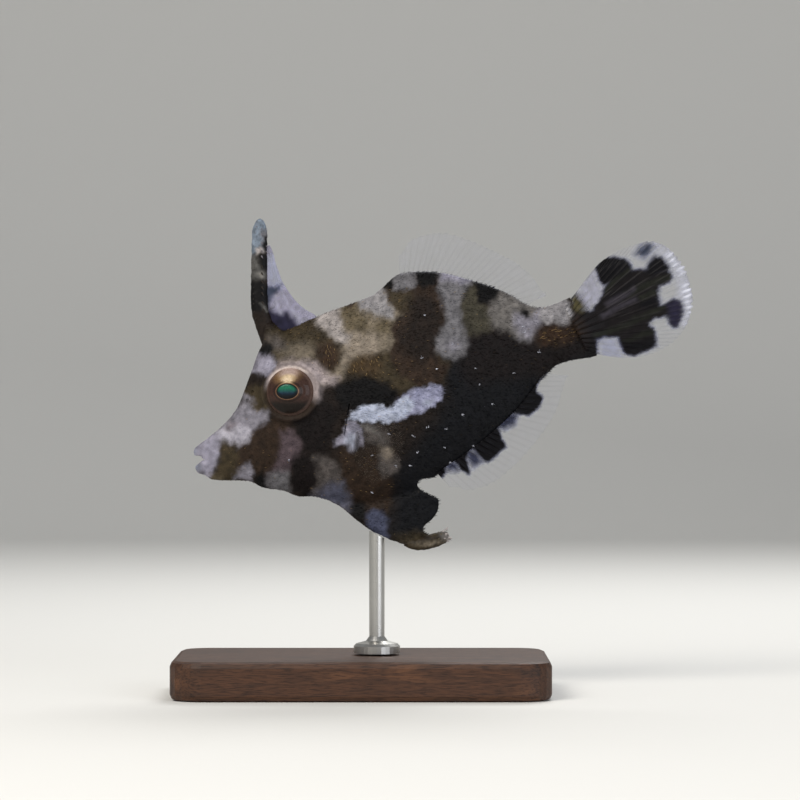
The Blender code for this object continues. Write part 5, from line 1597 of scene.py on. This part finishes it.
def web():
    """The web: one folded film from the spine's back edge to the skin of the back."""
    shares = np.linspace(0, 1, WEB_COLUMNS)
    height = WEB_TOP * (1 - shares)
    middle, _, back = spine_frame(height)
    root = middle + back * (thinning(SPINE_DEPTH, height) * 0.8)[:, None]
    margin = along(WEB_EDGE, shares)
    for line in (root, margin):
        line[:, 2] = [max(z, ridge(x, 1) - WEB_SINK) for x, _, z in line]
        line[:, 2] -= WEB_FOOT * rise((shares - 0.85) / 0.15)
    out, down = steps_out(WEB_ROWS), shares[:, None]
    folds = WEB_FOLD * np.abs(np.sin(4 * math.pi * out)) * (1 - out)
    thick = np.broadcast_to(WEB_HALF + folds + WEB_FOOT_HALF * down ** 6, (WEB_COLUMNS, WEB_ROWS))
    sway = WEB_SWAY * np.sin(5 * math.pi * out + 3 * down) * np.sin(math.pi * out)
    mesh = fin_plate("spine_web_film", root, margin, thick, sway)
    painted = paint(flat_points(mesh), "film", WEB_MARKINGS, WEB_TONES, 0.7)
    pale_folds = both_faces(np.abs(np.sin(3 * math.pi * out + 2 * down)) ** 8)
    keep_paint(mesh, tint(painted, pale_folds * 0.12 * (painted[:, 3] < 0.7), "white"))
    return new_object("spine_web_film", mesh, FIN_FINISH)


spine_web = web()
spine = joined("first_dorsal_spine", [bone, barb_mesh], BONE_FINISH)
print("web:", len(spine_web.data.polygons), "faces")

# %% [markdown]
# The pelvis ends in a rough, blunt spine at the tip of the belly flap, with a crown of small barbs.

# %% Pelvic spine
PELVIC_LINE = [(26.1, -22.9), (27.0, -23.35), (28.2, -23.8), (29.8, -24.0), (31.5, -24.05), (33.0, -23.9)]
PELVIC_RADII = [(0, 0.45), (0.14, 0.76), (0.3, 0.97), (0.55, 1.1), (0.8, 1.02), (0.93, 0.85), (1, 0.4)]
PELVIC_STEPS, CROWN_BARBS, CROWN_SEED, CROWN_WIDTH, CROWN_TURN, CROWN_RISE = 60, 34, 4, 0.24, 2.4, 0.75
PELVIC_MARKINGS = [
    ("pale upper knob", "stone", 3, (444, 534, 4, 4, 0)), ("pale end", "pale", 2, (451, 539, 4, 5, 0)),
    ("dark stripe", "umber", 2, (428, 537, 12, 2, -12)),
    ("pale lower ridge", "beige", 2, (431, 543, 10, 2, -8)),
]


def pelvic_mesh():
    """The blunt spine."""
    shares = np.linspace(0, 1, PELVIC_STEPS)
    middle = along(PELVIC_LINE, shares)
    ahead = np.gradient(middle, axis=0)
    ahead /= np.linalg.norm(ahead, axis=1)[:, None]
    up = np.column_stack([-ahead[:, 2], np.zeros(PELVIC_STEPS), ahead[:, 0]])
    half = smooth(PELVIC_RADII, shares)
    return tube("pelvic_tip", middle, up, half, half)


def pelvic_barbs():
    """A crown of barbs at the end, and a few smaller ones along it."""
    draw = np.random.default_rng(CROWN_SEED)
    rows = []
    for n in range(CROWN_BARBS):
        share = 0.25 + 0.75 * (n / CROWN_BARBS) ** 0.6
        middle = Vector(along(PELVIC_LINE, np.array([share]))[0])
        out = Vector((0, math.cos(n * CROWN_TURN), math.sin(n * CROWN_TURN)))
        aim = out + Vector((0.9 * share ** 2 + 0.25, 0, 0))
        length = (0.4 + 0.35 * share ** 3) * draw.uniform(0.7, 1.0)
        colour = TONES["pale" if share > 0.85 else "sand"]
        rows.append((middle + out * CROWN_RISE, aim, length, CROWN_WIDTH, colour))
    return rows


pelvic_bone = pelvic_mesh()
keep_paint(pelvic_bone, paint(rows_of(pelvic_bone.vertices), "olive", PELVIC_MARKINGS))
crown = thorns("crown", pelvic_barbs(), BARB_SIDES, BONE_FINISH)
pelvic = joined("pelvic_tip", [pelvic_bone, crown], BONE_FINISH)
print("pelvic spine:", len(pelvic.data.polygons), "faces")

# %% [markdown]
# The stand is a small plinth of oiled walnut and a turned, brushed steel rod. Their solids are right
# as they are and only get their finishes.


# %% Stand finishes
def walnut_finish():
    """Oiled walnut: dark brown with grain along X, rings about 1.5 mm apart, and fine pores."""
    made, tree, where = new_material("oiled walnut, planed")
    drawn = add(tree, "ShaderNodeMapping", {"Vector": where, "Scale": (60.0, 520.0, 520.0)})
    swirl = add(tree, "ShaderNodeTexNoise", {"Vector": drawn, "Scale": 1.0, "Detail": 6.0, "Distortion": 0.6})
    grain = add(tree, "ShaderNodeValToRGB", {"Fac": swirl}, (
        (0.3, "#23150d"), (0.48, "#4a2e1c"), (0.56, "#3a2315"), (0.7, "#573823"),
    ))
    thin = add(tree, "ShaderNodeMapping", {"Vector": where, "Scale": (500.0, 6000.0, 6000.0)})
    pore = add(tree, "ShaderNodeTexNoise", {"Vector": thin, "Scale": 1.0, "Detail": 2.0})
    dark = add(tree, "ShaderNodeValToRGB", {"Fac": pore}, ((0.38, "#8a7d74"), (0.5, "#ffffff")))
    wood = add(tree, "ShaderNodeMix", {0: 0.7, 6: grain, 7: dark}, **SHADE)
    rough = add(tree, "ShaderNodeMapRange", {"Value": pore, "To Min": 0.66, "To Max": 0.5})
    bump = add(tree, "ShaderNodeBump", {"Strength": 0.15, "Distance": 0.05 * MM, "Height": pore})
    finish_material(tree, {"Base Color": wood.outputs[2], "Roughness": rough, "Normal": bump, "IOR": 1.4})
    return made


def steel_finish():
    """Turned and brushed stainless steel: fine scratches round the rod."""
    made, tree, where = new_material("brushed stainless steel, turned")
    drawn = add(tree, "ShaderNodeMapping", {"Vector": where, "Scale": (300.0, 300.0, 9000.0)})
    lines = add(tree, "ShaderNodeTexNoise", {"Vector": drawn, "Scale": 1.0, "Detail": 2.0})
    rough = add(tree, "ShaderNodeMapRange", {"Value": lines, "To Min": 0.22, "To Max": 0.42})
    bump = add(tree, "ShaderNodeBump", {"Strength": 0.12, "Distance": 0.02 * MM, "Height": lines})
    finish_material(tree, {
        "Base Color": linear("#b9b8b4"), "Metallic": 1.0, "Roughness": rough, "Normal": bump,
    })
    return made


for name, finish in (("stand_base", walnut_finish()), ("stand_rod", steel_finish())):
    nodes[name].data.materials.clear()
    nodes[name].data.materials.append(finish)
print("stand finished")

# %% [markdown]
# Last, every piece is moved from the animal's frame to its place over the stand, is told which body it
# rides on, and hides the solids it stands for.

# %% Place the pieces
STANDS_FOR = [
    (skin, FLESH, "skin"), (bristles, (), "skin"), (papillae, (), "skin"),
    (eyeballs[-1], ("eye_left",), "eye"), (eyeballs[1], ("eye_right",), "eye"),
    (spine, ("dorsal_spine",), "spine"), (spine_web, ("dorsal_spine_web",), "fin"),
    (soft_dorsal, ("soft_dorsal_fin",), "fin"), (anal, ("anal_fin",), "fin"), (tail, ("caudal_fin",), "fin"),
    (pectorals[-1], ("pectoral_fin_left",), "fin"), (pectorals[1], ("pectoral_fin_right",), "fin"),
    (pelvic, ("pelvic_spine",), "spine"),
]
total = 0
for piece, solids, slot in STANDS_FOR:
    piece.data.transform(POSE)
    piece.data.update()
    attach(piece, "root")
    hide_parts(*solids)
    piece.data.calc_loop_triangles()
    count = len(piece.data.loop_triangles)
    total += count
    print(piece.name, count, "triangles")
print("total", total, "triangles")
